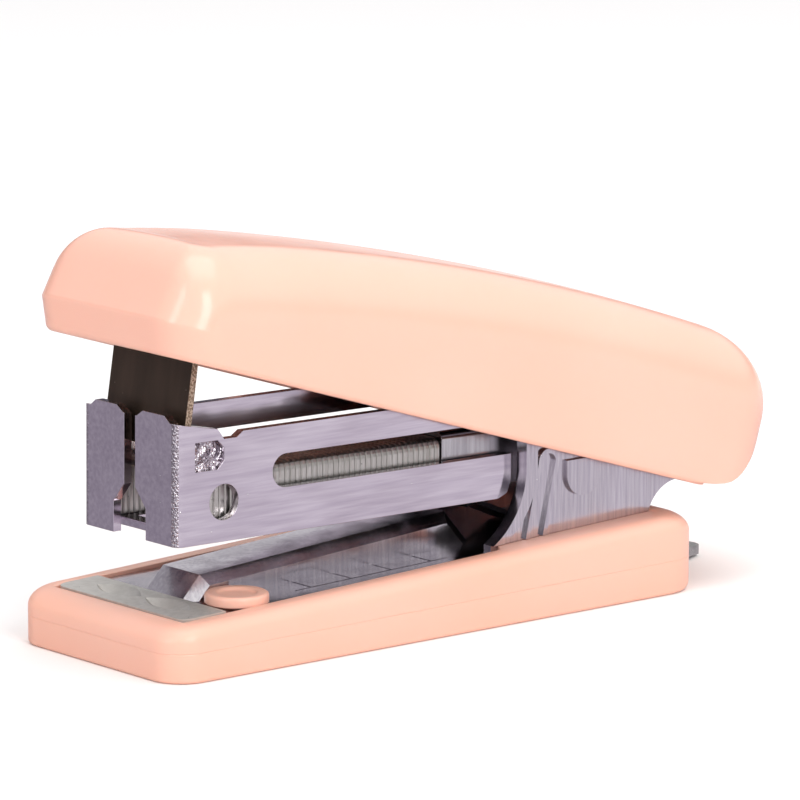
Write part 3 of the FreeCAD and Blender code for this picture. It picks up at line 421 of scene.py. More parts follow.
@dataclass(frozen=True)
class PlatedSteel:
    """Nickel-plated sheet: a bright mirror, wavy from the press, with fine drawn streaks and stray specks."""

    name: str
    colour: str
    streak: str
    roughness: float
    grain: Grain
    streak_mm: float
    wave_depth: float
    torn_bends: bool = False
    speck_spacing_mm: float = 1.7
    speck_mm: float = 0.07
    haze_mm: float = 2.2
    wave_mm: float = 5.0
    craze_mm: float = 0.16
    crumple_mm: float = 0.9

    def make(self) -> bpy.types.Material:
        """Builds the material.

        Returns:
            The finished material.
        """
        material, tree, shader = start_material(self.name)
        shader.inputs["Metallic"].default_value = 1.0
        lines = marks(tree, self.streak_mm, self.grain, 3.0)
        body = mixed(tree, spread(tree, lines, 0.0, 1.0), self.colour, self.streak)
        spots = specks(tree, self.speck_spacing_mm, self.speck_mm)
        tree.links.new(mixed(tree, spots, body, "#FFFFFF"), shader.inputs["Base Color"])
        cloud = marks(tree, self.haze_mm, self.grain, 4.0)
        haze = spread(tree, cloud, self.roughness * 0.7, self.roughness * 1.6)
        tree.links.new(haze, shader.inputs["Roughness"])
        wave = add(tree, "ShaderNodeBump", {
            "Height": marks(tree, self.wave_mm, Grain.EVEN, 1.0), "Strength": self.wave_depth,
            "Distance": 0.25 * MM,
        })
        fine = add(tree, "ShaderNodeBump", {
            "Height": lines, "Strength": 0.10, "Distance": 0.02 * MM, "Normal": wave.outputs["Normal"],
        })
        pocked = add(tree, "ShaderNodeBump", {
            "Height": spots, "Strength": 0.5, "Distance": 0.02 * MM, "Normal": fine.outputs["Normal"],
        })
        last = self.torn(tree, pocked) if self.torn_bends else pocked
        tree.links.new(last.outputs["Normal"], shader.inputs["Normal"])
        return material

    def torn(self, tree: bpy.types.NodeTree, before: bpy.types.Node) -> bpy.types.Node:
        """Adds the crazed plating of the two upright front bends, and the crumpled sheet inside the lance.

        Args:
            tree: the material's node tree.
            before: the bump node that these come after.

        Returns:
            The last bump node.
        """
        low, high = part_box("magazine")
        place = add(tree, "ShaderNodeSeparateXYZ", {
            "Vector": add(tree, "ShaderNodeTexCoord").outputs["Object"],
        })
        across = add(tree, "ShaderNodeMath", {0: place.outputs["X"]}, operation="ABSOLUTE")
        band = add(tree, "ShaderNodeMath", {
            0: across.outputs["Value"], 1: high.x - 0.42 * MM, 2: 0.27 * MM,
        }, operation="COMPARE")
        ahead = add(tree, "ShaderNodeMath", {
            0: place.outputs["Y"], 1: low.y + 0.55 * MM,
        }, operation="LESS_THAN")
        where = add(tree, "ShaderNodeMath", {
            0: band.outputs["Value"], 1: ahead.outputs["Value"],
        }, operation="MULTIPLY")
        grit = marks(tree, self.craze_mm, Grain.EVEN, 2.0)
        torn = add(tree, "ShaderNodeBump", {
            "Height": grit, "Strength": where.outputs["Value"], "Distance": self.craze_mm * MM,
            "Normal": before.outputs["Normal"],
        })
        sunk = add(tree, "ShaderNodeMath", {
            0: across.outputs["Value"], 1: high.x - 0.35 * MM, 2: 0.08 * MM,
        }, operation="COMPARE")
        near = add(tree, "ShaderNodeMath", {
            0: place.outputs["Y"], 1: low.y + 2.9 * MM, 2: 1.6 * MM,
        }, operation="COMPARE")
        pad = add(tree, "ShaderNodeMath", {
            0: sunk.outputs["Value"], 1: near.outputs["Value"],
        }, operation="MULTIPLY")
        return add(tree, "ShaderNodeBump", {
            "Height": marks(tree, self.crumple_mm, Grain.EVEN, 3.0), "Strength": pad.outputs["Value"],
            "Distance": 1.2 * MM, "Normal": torn.outputs["Normal"],
        })


@dataclass(frozen=True)
class SatinSteel:
    """Bare hardened or spring steel: a soft metal sheen with ground streaks, dark pits and a dull edge."""

    name: str
    colour: str
    streak: str
    roughness: float
    grain: Grain
    streak_mm: float
    pit_colour: str
    metal_share: float = 1.0
    pit_spacing_mm: float = 1.3
    pit_mm: float = 0.06

    def make(self) -> bpy.types.Material:
        """Builds the material.

        Returns:
            The finished material.
        """
        material, tree, shader = start_material(self.name)
        shader.inputs["Metallic"].default_value = self.metal_share
        lines = marks(tree, self.streak_mm, self.grain, 4.0)
        body = mixed(tree, spread(tree, lines, 0.0, 1.0), self.colour, self.streak)
        pitted = mixed(tree, specks(tree, self.pit_spacing_mm, self.pit_mm), body, self.pit_colour)
        tree.links.new(pitted, shader.inputs["Base Color"])
        tree.links.new(
            spread(tree, lines, self.roughness * 0.85, self.roughness * 1.2), shader.inputs["Roughness"])
        fine = add(tree, "ShaderNodeBump", {"Height": lines, "Strength": 0.25, "Distance": 0.02 * MM})
        tree.links.new(fine.outputs["Normal"], shader.inputs["Normal"])
        return material


@dataclass(frozen=True)
class BladeSteel:
    """Oil-blacked hardened strip: a dark brown face, and sheared edges left bright, coarse and glittering."""

    name: str
    face: str
    edge: str
    dark_edge: str
    face_cloud: str = "#5B4C40"
    dust: str = "#9A8A7A"
    metal_share: float = 0.7
    roughness: float = 0.42
    grit_mm: float = 0.14
    cloud_mm: float = 1.6

    def make(self) -> bpy.types.Material:
        """Builds the material.

        Returns:
            The finished material.
        """
        material, tree, shader = start_material(self.name)
        shader.inputs["Metallic"].default_value = self.metal_share
        facing = add(tree, "ShaderNodeSeparateXYZ", {
            "Vector": add(tree, "ShaderNodeTexCoord").outputs["Normal"],
        })
        sideways = add(tree, "ShaderNodeMath", {0: facing.outputs["X"]}, operation="ABSOLUTE")
        edge = spread(tree, sideways.outputs["Value"], 0.0, 1.0, 0.8, 0.95)
        grit = marks(tree, self.grit_mm, Grain.EVEN, 2.0)
        sheared = mixed(tree, spread(tree, grit, 0.0, 1.0, 0.42, 0.58), self.dark_edge, self.edge)
        cloud = spread(tree, marks(tree, self.cloud_mm, Grain.UPRIGHT, 4.0), 0.0, 1.0)
        face = mixed(tree, cloud, self.face, self.face_cloud)
        dusted = mixed(tree, specks(tree, 1.1, 0.05), face, self.dust)
        tree.links.new(mixed(tree, edge, dusted, sheared), shader.inputs["Base Color"])
        shader.inputs["Roughness"].default_value = self.roughness
        rough = add(tree, "ShaderNodeMath", {0: edge, 1: 0.7}, operation="MULTIPLY")
        bump = add(tree, "ShaderNodeBump", {
            "Height": grit, "Strength": rough.outputs["Value"], "Distance": 0.08 * MM,
        })
        tree.links.new(bump.outputs["Normal"], shader.inputs["Normal"])
        return material


class Finishes:
    """Every finish of the stapler, each made once."""

    def __init__(self) -> None:
        """Builds the materials."""
        self.cover = MouldedPlastic("cover_abs_polished", "#F9BDA8", "#F9C1AD", 0.20, 0.06).make()
        self.shoe = MouldedPlastic("shoe_abs_satin", "#F9BDA6", "#F9C1AC", 0.33, 0.08).make()
        self.magazine = PlatedSteel(
            "magazine_nickel_mirror", "#DAD3DA", "#C6BEC8", 0.10, Grain.LENGTHWISE, 0.35, 0.35, True).make()
        self.frame = PlatedSteel(
            "frame_nickel_brushed", "#D6D2D6", "#BDB8C0", 0.16, Grain.UPRIGHT, 0.22, 0.20).make()
        self.anvil = SatinSteel(
            "anvil_ground_steel", "#CFCCC6", "#C4C1BB", 0.42, Grain.EVEN, 0.5, "#5A5652", 0.55).make()
        self.bright = SatinSteel(
            "turned_rivet_steel", "#C9C7C8", "#B4B2B4", 0.26, Grain.EVEN, 0.3, "#8B898B").make()
        self.remover = SatinSteel(
            "stamped_tongue_steel", "#B9B7B2", "#9C9A96", 0.30, Grain.LENGTHWISE, 0.3, "#6A6865").make()
        self.spring = SatinSteel(
            "blued_spring_steel", "#77757A", "#605E64", 0.30, Grain.LENGTHWISE, 0.2, "#454348").make()
        self.follower = SatinSteel(
            "follower_plated_sheet", "#C4C2C4", "#A9A7AB", 0.22, Grain.UPRIGHT, 0.3, "#807E82").make()
        self.wire = SatinSteel(
            "staple_galvanised_wire", "#D8D6D0", "#BDBBB4", 0.33, Grain.UPRIGHT, 0.12, "#8F8D88").make()
        self.blade = BladeSteel("blade_blacked_steel", "#4A3D33", "#D9C3AC", "#8A7460").make()


# ---------------------------------------------------------------- moulded pieces


@dataclass(frozen=True)
class CoverShell:
    """The crowned plastic cover: full round tail, soft shoulders, and a nose face with a crease across it."""

    plan: Plan = Plan(front=-48.0, rear=11.45, half=9.5, front_corner=3.6, rear_corner=4.9)
    drop: float = -2.94
    apex: float = 9.25
    apex_y: float = -5.0
    crown_radius: float = 215.0
    cross_crown: float = 80.0
    shoulder: float = 4.5
    nose_round: float = 2.3
    tail_inset: float = 7.0
    tail_top: float = 5.9
    tail_bottom: float = 5.6
    rim_round: float = 0.4
    wall: float = 1.3
    open_rear: float = 6.6
    crease: float = -0.6
    nose_lower_slope: float = 0.5
    nose_upper_slope: float = 0.2
    nose_reach: float = 11.0
    draft: float = 0.0018
    inner_round: float = 2.2
    inner_edge: float = 0.12
    crease_band: float = 0.4
    ridge_inset: float = 4.0
    tail_turn: float = 21.4
    levels: tuple[float, ...] = (0.0, 0.35, 0.7, 0.92, 1.0, 1.08, 1.35, 1.65, 2.0)

    def roof(self, x: float, y: float) -> float:
        """Height of the crowned top.

        Args:
            x: across.
            y: along.

        Returns:
            The height in the cover's frame.
        """
        from_apex = y - self.apex_y
        along = from_apex * from_apex / (2 * self.crown_radius)
        return self.apex - along - x * x / (2 * self.cross_crown)

    def under(self, y: float) -> float:
        """Height of the lower edge, level and then rising round the tail.

        Args:
            y: along.

        Returns:
            The height in the cover's frame.
        """
        start = self.plan.rear - self.tail_inset
        share = min(1.0, max(0.0, (y - start) / self.tail_inset))
        return self.drop + self.tail_bottom * (1 - math.sqrt(1 - share * share))

    def lean(self, x: float, y: float, z: float) -> Vector:
        """Sets back the nose above and below its crease, and narrows the walls by the mould's draft.

        Args:
            x: across, before the draft.
            y: along, before the nose is set back.
            z: height.

        Returns:
            The point on the finished surface.
        """
        reach = ease(1 - (y - self.plan.front) / self.nose_reach)
        slope = self.nose_lower_slope if z < self.crease else self.nose_upper_slope
        narrow = 1 - self.draft * (z - self.drop)
        return Vector((x * narrow, y + reach * slope * abs(z - self.crease), z))

    def rings(self) -> list[Ring]:
        """The surface from the middle of the inside roof, out round the rim and over to the top's middle.

        Returns:
            The rings, in order.
        """
        outer = self.plan.points()
        top = self.plan.inset(self.shoulder, self.nose_round, self.tail_inset, (0.9, 1.3)).points()
        rim = self.plan.inset(self.rim_round, self.rim_round, self.tail_inset, (3.2, 2.4)).points()
        opening_plan = Plan(self.plan.front + self.wall, self.open_rear, self.plan.half - self.wall, 2.3, 2.4)
        opening = opening_plan.points()
        ceiling = opening_plan.inset(self.inner_round, 1.5, self.inner_round, (0.9, 0.9)).points()
        return (
            self.inside(opening, ceiling)
            + self.underside(outer, rim)
            + self.outside(outer, top)
            + self.cap(top, self.roof, 1.0)
        )

    def cap(self, edge: list[PlanPoint], height: Height, direction: float) -> list[Ring]:
        """Rings between an edge and the middle line.

        Args:
            edge: the outline that the cap closes.
            height: the surface's height at a place.
            direction: positive from the edge in, negative from the middle line out.

        Returns:
            The rings, in order.
        """
        middle_front = edge[0].y + self.ridge_inset
        middle_rear = max(p.y for p in edge) - self.ridge_inset
        found = []
        for step in range(1, CAP_STEPS + 1):
            share = step / CAP_STEPS
            ring = []
            for point in edge:
                y = point.y + (min(max(point.y, middle_front), middle_rear) - point.y) * share
                x = point.x * (1 - share)
                ring.append(self.lean(x, y, height(x, y)))
            found.append(ring)
        return found if direction > 0 else list(reversed(found))

    def inside(self, opening: list[PlanPoint], ceiling: list[PlanPoint]) -> list[Ring]:
        """The inner roof and walls, down to the opening.

        Args:
            opening: the outline of the inner walls.
            ceiling: the outline where the inner roof starts.

        Returns:
            The rings, in order.
        """
        def height(x: float, y: float) -> float:
            """Height of the inner roof."""
            return self.roof(x, y) - self.wall

        found = self.cap(ceiling, height, -1.0)
        for step in range(INNER_ROUND_STEPS, -1, -1):
            turn = QUARTER * step / INNER_ROUND_STEPS
            ring = []
            for wall, top in zip(opening, ceiling):
                x, y = between(wall, top, 1 - math.cos(turn))
                ring.append(self.lean(x, y, height(x, y) - self.inner_round * (1 - math.sin(turn))))
            found.append(ring)
        for level in (self.crease + self.crease_band, self.crease, self.crease - self.crease_band):
            found.append([self.lean(p.x, p.y, level) for p in opening])
        edge = self.inner_edge
        found.append([self.lean(p.x, p.y, self.under(p.y) + edge) for p in opening])
        found.append([
            self.lean(p.x + edge * p.across, p.y + edge * p.along, self.under(p.y)) for p in opening
        ])
        return found

    def underside(self, outer: list[PlanPoint], rim: list[PlanPoint]) -> list[Ring]:
        """The rim's lower edge, which widens into the round underside of the tail.

        Args:
            outer: the outline of the outer walls.
            rim: the outline of the rim's lowest line.

        Returns:
            The rings, in order.
        """
        found = []
        for step in range(ROUND_STEPS, 0, -1):
            ring = []
            for wall, low in zip(outer, rim):
                turn = math.radians(90 - self.tail_turn * wall.rear) * step / ROUND_STEPS
                x, y = between(wall, low, 1 - math.cos(turn))
                side = self.under(wall.y) + self.rim_round * (1 - math.sin(turn))
                tail = self.drop + self.tail_bottom * (1 - math.sin(turn))
                ring.append(self.lean(x, y, side + (tail - side) * wall.rear))
            found.append(ring)
        return found

    def outside(self, outer: list[PlanPoint], top: list[PlanPoint]) -> list[Ring]:
        """The outer walls with the nose crease, and the round over on to the top.

        Args:
            outer: the outline of the outer walls.
            top: the outline where the top starts.

        Returns:
            The rings, in order.
        """
        found = []
        for level in self.levels:
            ring = []
            for point in outer:
                side = self.under(point.y) + self.rim_round
                low = side + (self.drop + self.tail_bottom - side) * point.rear
                fall = point.blend(self.shoulder, self.nose_round, self.tail_top)
                high = self.roof(point.x, point.y) - fall
                middle = min(max(low, self.crease), high)
                z = low + (middle - low) * level if level <= 1 else middle + (high - middle) * (level - 1)
                ring.append(self.lean(point.x, point.y, z))
            found.append(ring)
        for step in range(1, ROUND_STEPS + 1):
            turn = QUARTER * step / ROUND_STEPS
            ring = []
            for wall, inner in zip(outer, top):
                x, y = between(wall, inner, 1 - math.cos(turn))
                rise = wall.blend(self.shoulder, self.nose_round, self.tail_top)
                start, end = self.roof(wall.x, wall.y), self.roof(inner.x, inner.y)
                base = start + (end - start) * math.sin(turn)
                ring.append(self.lean(x, y, base - rise * (1 - math.sin(turn))))
            found.append(ring)
        return found

    def build(self, finish: bpy.types.Material) -> None:
        """Makes the cover, dresses it and hangs it on the cover's body.

        Args:
            finish: the plastic.
        """
        piece = skin("cover_moulding", self.rings(), COVER_FRAME.place())
        piece.data.materials.append(finish)
        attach(piece, "cover")
        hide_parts("cover_shell")
        LOG.info("cover_moulding: %d faces", len(piece.data.polygons))


@dataclass(frozen=True)
class BaseShoe:
    """The plastic shoe: a tray with soft edges, a parting line round it, and a recess for the frame."""

    plan: Plan = Plan(front=-25.25, rear=25.25, half=9.625, front_corner=2.6, rear_corner=3.4)
    front_height: float = 4.0
    rear_height: float = 6.1
    edge_round: float = 1.15
    nose_round: float = 1.9
    tail_round: float = 2.6
    nose_fall: float = 1.25
    tail_fall: float = 2.0
    foot_round: float = 0.3
    tail_foot_round: float = 0.9
    seam_front: float = 2.15
    seam_rear: float = 2.6
    seam_half: float = 0.05
    seam_depth: float = 0.03
    seam_offsets: tuple[tuple[float, float], ...] = (
        (-1.6, 0.0), (-1.0, 0.0), (-0.4, 1.0), (0.4, 1.0), (1.0, 0.0), (1.6, 0.0),
    )
    plate_half: float = 7.63
    ear_half: float = 6.63
    ear_front: float = 6.35
    recess_front: float = -22.98
    recess_rear: float = 21.97
    floor: float = 1.2
    edge_break: float = 0.15
    ear_step: float = 0.3
    break_half: float = 0.04

    def along(self, y: float) -> float:
        """How far back a place is, 0 at the front and 1 at the rear."""
        return (y - self.plan.front) / (self.plan.rear - self.plan.front)

    def rim(self, y: float) -> float:
        """Height of the tray's top edge."""
        return self.front_height + (self.rear_height - self.front_height) * self.along(y)

    def recess_half(self, y: float) -> float:
        """Half-width of the recess, which narrows at the ears."""
        narrow = ease((y - self.ear_front) / self.ear_step)
        return self.plate_half + (self.ear_half - self.plate_half) * narrow

    def rings(self) -> list[Ring]:
        """The surface from the underside's middle, up the walls, over the rim and down into the recess.

        Returns:
            The rings, in order.
        """
        outer = self.plan.points()
        foot = self.plan.inset(self.foot_round, self.foot_round, self.tail_foot_round, (2.4, 2.9)).points()
        top = self.plan.inset(self.edge_round, self.nose_round, self.tail_round, (1.5, 2.2)).points()
        found = []
        for share in (0.0, 0.5):
            found.append([Vector((p.x * share, p.y * (0.7 + 0.3 * share), 0)) for p in foot])
        for step in range(INNER_ROUND_STEPS, -1, -1):
            turn = QUARTER * step / INNER_ROUND_STEPS
            ring = []
            for wall, low in zip(outer, foot):
                x, y = between(wall, low, 1 - math.cos(turn))
                rise = wall.blend(self.foot_round, self.foot_round, self.tail_foot_round)
                ring.append(Vector((x, y, rise * (1 - math.sin(turn)))))
            found.append(ring)
        for offset, depth in self.seam_offsets:
            cut = depth * self.seam_depth
            ring = []
            for point in outer:
                seam = self.seam_front + (self.seam_rear - self.seam_front) * self.along(point.y)
                height = seam + offset * self.seam_half
                ring.append(Vector((point.x - cut * point.across, point.y - cut * point.along, height)))
            found.append(ring)
        for step in range(FINE_ROUND_STEPS + 1):
            turn = QUARTER * step / FINE_ROUND_STEPS
            ring = []
            for wall, inner in zip(outer, top):
                x, y = between(wall, inner, 1 - math.cos(turn))
                rise = wall.blend(self.edge_round, self.nose_fall, self.tail_fall)
                ring.append(Vector((x, y, self.rim(y) - rise * (1 - math.sin(turn)))))
            found.append(ring)
        return found + self.recess()

    def recess(self) -> list[Ring]:
        """The recess from its broken edge down to its floor, closed along the middle.

        Returns:
            The rings, in order.
        """
        edge = Plan(self.recess_front, self.recess_rear, 1.0, 0.03, 0.03).points()
        found = []
        middle, full = self.break_half, self.edge_break
        for spare, drop in ((full, 0.0), (middle, middle), (0.0, full)):
            found.append([
                Vector((
                    p.x * (self.recess_half(p.y) + spare), p.y + spare * p.along, self.rim(p.y) - drop))
                for p in edge
            ])
        for share in (1.0, 0.5, 0.0):
            found.append([Vector((p.x * self.recess_half(p.y) * share, p.y, self.floor)) for p in edge])
        return found

    def build(self, finish: bpy.types.Material) -> None:
        """Makes the shoe, dresses it and sets it on the base's body.

        Args:
            finish: the plastic.
        """
        piece = skin("shoe_moulding", self.rings(), Matrix.Identity(4))
        piece.data.materials.append(finish)
        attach(piece, "base")
        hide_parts("base_shoe")
        LOG.info("shoe_moulding: %d faces", len(piece.data.polygons))


@dataclass(frozen=True)
class ShoeRivet:
    """The moulded button that is hot-pressed over the anvil's corner, with a dished face."""

    steps: int = 72
    head: float = 0.8
    shank_length: float = 1.5
    shank: float = 1.2

    def build(self, finish: bpy.types.Material) -> None:
        """Turns the button's profile round its own axis.

        Args:
            finish: the button's material.
        """
        low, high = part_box("shoe_rivet")
        centre = (low + high) / 2 / MM
        radius, top = (high.x - low.x) / 2 / MM, high.z / MM
        head = top - self.head
        foot = head - self.shank_length
        profile = [
            (0.0, foot), (self.shank, foot), (self.shank, head), (radius - 0.12, head), (radius, head + 0.10),
            (radius, top - 0.22), (radius - 0.05, top - 0.09), (radius - 0.18, top - 0.01),
            (radius - 0.3, top),
            (1.62, top), (1.50, top - 0.03), (1.42, top - 0.12), (1.34, top - 0.20), (1.2, top - 0.23),
            (0.6, top - 0.22), (0.0, top - 0.22),
        ]
        rings = []
        for across, height in profile:
            rings.append([
                Vector((
                    centre.x + across * math.cos(math.tau * step / self.steps),
                    centre.y + across * math.sin(math.tau * step / self.steps), height))
                for step in range(self.steps)
            ])
        piece = skin("shoe_button", rings, Matrix.Identity(4))
        piece.data.materials.append(finish)
        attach(piece, "base")
        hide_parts("shoe_rivet")
        LOG.info("shoe_button: %d faces", len(piece.data.polygons))


# ---------------------------------------------------------------- pressed metal


@dataclass(frozen=True)
class Pressing:
    """A pressed or stamped steel piece, with its cut edges broken as a tumbled pressing's are."""

    node: str
    piece: str
    body: str
    slot: str
    edge_mm: float

    def build(self, finish: bpy.types.Material) -> None:
        """Copies the node's shape, welds it and rounds its edges.

        Args:
            finish: the piece's material.
        """
        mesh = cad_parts[self.node].data.copy()
        shape = bmesh.new()
        shape.from_mesh(mesh)
        bmesh.ops.remove_doubles(shape, verts=shape.verts, dist=WELD)
        bmesh.ops.dissolve_limit(
            shape, angle_limit=FLAT_ANGLE, verts=shape.verts, edges=shape.edges, delimit={"NORMAL"})
        for face in shape.faces:
            face.smooth = True
        shape.to_mesh(mesh)
        shape.free()
        if "custom_normal" in mesh.attributes:
            mesh.attributes.remove(mesh.attributes["custom_normal"])
        mesh.materials.clear()
        mesh.materials.append(finish)
        mesh.set_sharp_from_angle(angle=SHEET_SMOOTH_ANGLE)
        piece = new_object(self.piece, mesh)
        bevel = piece.modifiers.new("broken_edges", "BEVEL")
        bevel.width = self.edge_mm * MM
        bevel.segments = BEVEL_SEGMENTS
        bevel.limit_method = "ANGLE"
        bevel.angle_limit = BEVEL_ANGLE
        bevel.harden_normals = True
        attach(piece, self.body)
        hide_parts(self.node)
        LOG.info("%s: %d faces before its edges", self.piece, len(mesh.polygons))


# ---------------------------------------------------------------- repeated pieces


def group_inputs(tree: bpy.types.GeometryNodeTree, sizes: dict[str, tuple[str, float]]) -> bpy.types.Node:
    """Gives a geometry tree its sockets.

    Args:
        tree: the geometry tree.
        sizes: for each named input, its socket type and its value.

    Returns:
        The group's input node.
    """
    tree.interface.new_socket("Geometry", in_out="INPUT", socket_type="NodeSocketGeometry")
    tree.interface.new_socket("Geometry", in_out="OUTPUT", socket_type="NodeSocketGeometry")
    for name, (kind, value) in sizes.items():
        socket = tree.interface.new_socket(name, in_out="INPUT", socket_type=kind)
        socket.default_value = value
    return add(tree, "NodeGroupInput")


def finish_tree(tree: bpy.types.GeometryNodeTree, shape: Socket, finish: bpy.types.Material) -> None:
    """Ends a geometry tree in Realize Instances and Set Material.

    Args:
        tree: the geometry tree.
        shape: the output that holds the finished shape.
        finish: its material.
    """
    real = add(tree, "GeometryNodeRealizeInstances", {"Geometry": shape})
    dressed = add(tree, "GeometryNodeSetMaterial", {"Geometry": real.outputs["Geometry"], "Material": finish})
    add(tree, "NodeGroupOutput", {"Geometry": dressed.outputs["Geometry"]})


def run_tree(name: str, seed: bpy.types.Mesh, tree: bpy.types.GeometryNodeTree,
             sizes: dict[str, tuple[str, float]], place: Matrix) -> bpy.types.Object:
    """Runs a geometry tree once and keeps its result as a plain mesh.

    Args:
        name: the piece's name.
        seed: the mesh that the tree starts from.
        tree: the geometry tree.
        sizes: its named inputs.
        place: the design frame's place in the row frame.

    Returns:
        The finished piece.
    """
    maker = new_object(f"{name}_maker", seed)
    modifier = maker.modifiers.new("nodes", "NODES")
    modifier.node_group = tree
    for socket in tree.interface.items_tree:
        if socket.in_out == "INPUT" and socket.name in sizes:
            modifier[socket.identifier] = sizes[socket.name][1]
    bpy.context.view_layer.update()
    graph = bpy.context.evaluated_depsgraph_get()
    mesh = bpy.data.meshes.new_from_object(maker.evaluated_get(graph))
    maker.modifiers.clear()
    bpy.data.objects.remove(maker)
    mesh.name = name
    mesh.transform(place)
    return new_object(name, mesh)


@dataclass(frozen=True)
class StapleStrip:
    """The stick of wire staples: one bent wire repeated along the magazine."""

    count: int = 46
    pitch: float = 0.5
    front: float = -41.6
    half_crown: float = 4.6
    top: float = 1.35
    foot: float = -2.97
    wire: float = 0.47
    bend: float = 0.45

    def one_staple(self) -> bpy.types.Mesh:
        """One staple as a swept wire with flattened sides.

        Returns:
            The staple's mesh, in metres, at the front of the strip.
        """
        middle = self.half_crown - self.wire / 2
        high = self.top - self.wire / 2
        path = [(-middle, self.foot)]
        for side in (-1, 1):
            for step in range(STAPLE_BEND_STEPS + 1):
                share = step / STAPLE_BEND_STEPS
                turn = QUARTER * (share if side < 0 else 1 - share)
                path.append((
                    side * (middle - self.bend + self.bend * math.cos(turn)),
                    high - self.bend + self.bend * math.sin(turn)))
        path.append((middle, self.foot))
        half, cut = self.wire / 2, self.wire / 5
        section = [
            (half, half - cut), (half - cut, half), (cut - half, half), (-half, half - cut),
            (-half, cut - half), (cut - half, -half), (half - cut, -half), (half, cut - half),
        ]
        shape = bmesh.new()
        rows = []
        for index, (x, z) in enumerate(path):
            before, after = path[max(0, index - 1)], path[min(len(path) - 1, index + 1)]
            way = Vector((after[0] - before[0], 0, after[1] - before[1])).normalized()
            out = Vector((way.z, 0, -way.x))
            centre = Vector((x, self.front + self.pitch / 2, z))
            rows.append([
                shape.verts.new((centre + out * a + Vector((0, b, 0))) * MM) for a, b in section
            ])
        for lower, upper in zip(rows, rows[1:]):
            for index in range(len(section)):
                following = (index + 1) % len(section)
                shape.faces.new((lower[index], lower[following], upper[following], upper[index]))
        shape.faces.new(rows[0])
        shape.faces.new(rows[-1])
        bmesh.ops.recalc_face_normals(shape, faces=shape.faces)
        mesh = bpy.data.meshes.new("one_staple")
        shape.to_mesh(mesh)
        shape.free()
        return mesh

    def build(self, finish: bpy.types.Material) -> None:
        """Repeats the staple along the strip.

        Args:
            finish: the wire's material.
        """
        sizes = {"Count": ("NodeSocketInt", self.count), "Pitch": ("NodeSocketFloat", self.pitch * MM)}
        tree = bpy.data.node_groups.new("staple_row", "GeometryNodeTree")
        given = group_inputs(tree, sizes)
        step = add(tree, "ShaderNodeCombineXYZ", {"Y": given.outputs["Pitch"]})
        line = add(tree, "GeometryNodeMeshLine", {
            "Count": given.outputs["Count"], "Offset": step.outputs["Vector"],
        })
        copies = add(tree, "GeometryNodeInstanceOnPoints", {
            "Points": line.outputs["Mesh"], "Instance": given.outputs["Geometry"],
        })
        finish_tree(tree, copies.outputs["Instances"], finish)
        piece = run_tree("staple_wires", self.one_staple(), tree, sizes, MAGAZINE_FRAME.place())
        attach(piece, "magazine")
        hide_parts("staple_strip")
        LOG.info("staple_wires: %d faces", len(piece.data.polygons))


@dataclass(frozen=True)
class FollowerSpring:
    """The coil that pushes the follower, wound round its rod."""

    radius: float = 1.25
    wire: float = 0.3
    turns: float = 15.0
    front: float = -17.6
    rear: float = -4.5
    axis_height: float = -0.6

    def build(self, finish: bpy.types.Material) -> None:
        """Winds the coil from the follower to its anchor.

        Args:
            finish: the spring's material.
        """
        sizes = {
            "Radius": ("NodeSocketFloat", self.radius * MM), "Turns": ("NodeSocketFloat", self.turns),
            "Length": ("NodeSocketFloat", (self.rear - self.front) * MM),
            "Wire": ("NodeSocketFloat", self.wire / 2 * MM),
        }
        tree = bpy.data.node_groups.new("coil", "GeometryNodeTree")
        given = group_inputs(tree, sizes)
        path = add(tree, "GeometryNodeCurveSpiral", {
            "Resolution": 28, "Rotations": given.outputs["Turns"], "Start Radius": given.outputs["Radius"],
            "End Radius": given.outputs["Radius"], "Height": given.outputs["Length"],
        })
        section = add(tree, "GeometryNodeCurvePrimitiveCircle", {
            "Resolution": 10, "Radius": given.outputs["Wire"],
        })
        wire = add(tree, "GeometryNodeCurveToMesh", {
            "Curve": path.outputs["Curve"], "Profile Curve": section.outputs["Curve"], "Fill Caps": True,
        })
        finish_tree(tree, wire.outputs["Mesh"], finish)
        start = Matrix.Translation(Vector((0, self.front, self.axis_height)) * MM)
        place = MAGAZINE_FRAME.place() @ start @ Matrix.Rotation(-QUARTER, 4, "X")
        piece = run_tree("follower_coil", bpy.data.meshes.new("empty"), tree, sizes, place)
        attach(piece, "magazine")
        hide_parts("follower_spring")
        LOG.info("follower_coil: %d faces", len(piece.data.polygons))


# ---------------------------------------------------------------- the studio


@dataclass(frozen=True)
class Softbox:
    """A rectangular studio light that points at the stapler."""

    name: str
    place: tuple[float, float, float]
    width: float
    height: float
    power: float
    aim: tuple[float, float, float] = (0.0, 0.0, 0.015)

    def build(self) -> None:
        """Hangs the light and aims it."""
        lamp = bpy.data.lights.new(self.name, "AREA")
        lamp.shape = "RECTANGLE"
        lamp.size, lamp.size_y = self.width, self.height
        lamp.energy = self.power
        light = bpy.data.objects.new(self.name, lamp)
        light.location = self.place
        light.rotation_mode = "QUATERNION"
        light.rotation_quaternion = (Vector(self.aim) - light.location).to_track_quat("-Z", "Y")
        bpy.context.scene.collection.objects.link(light)


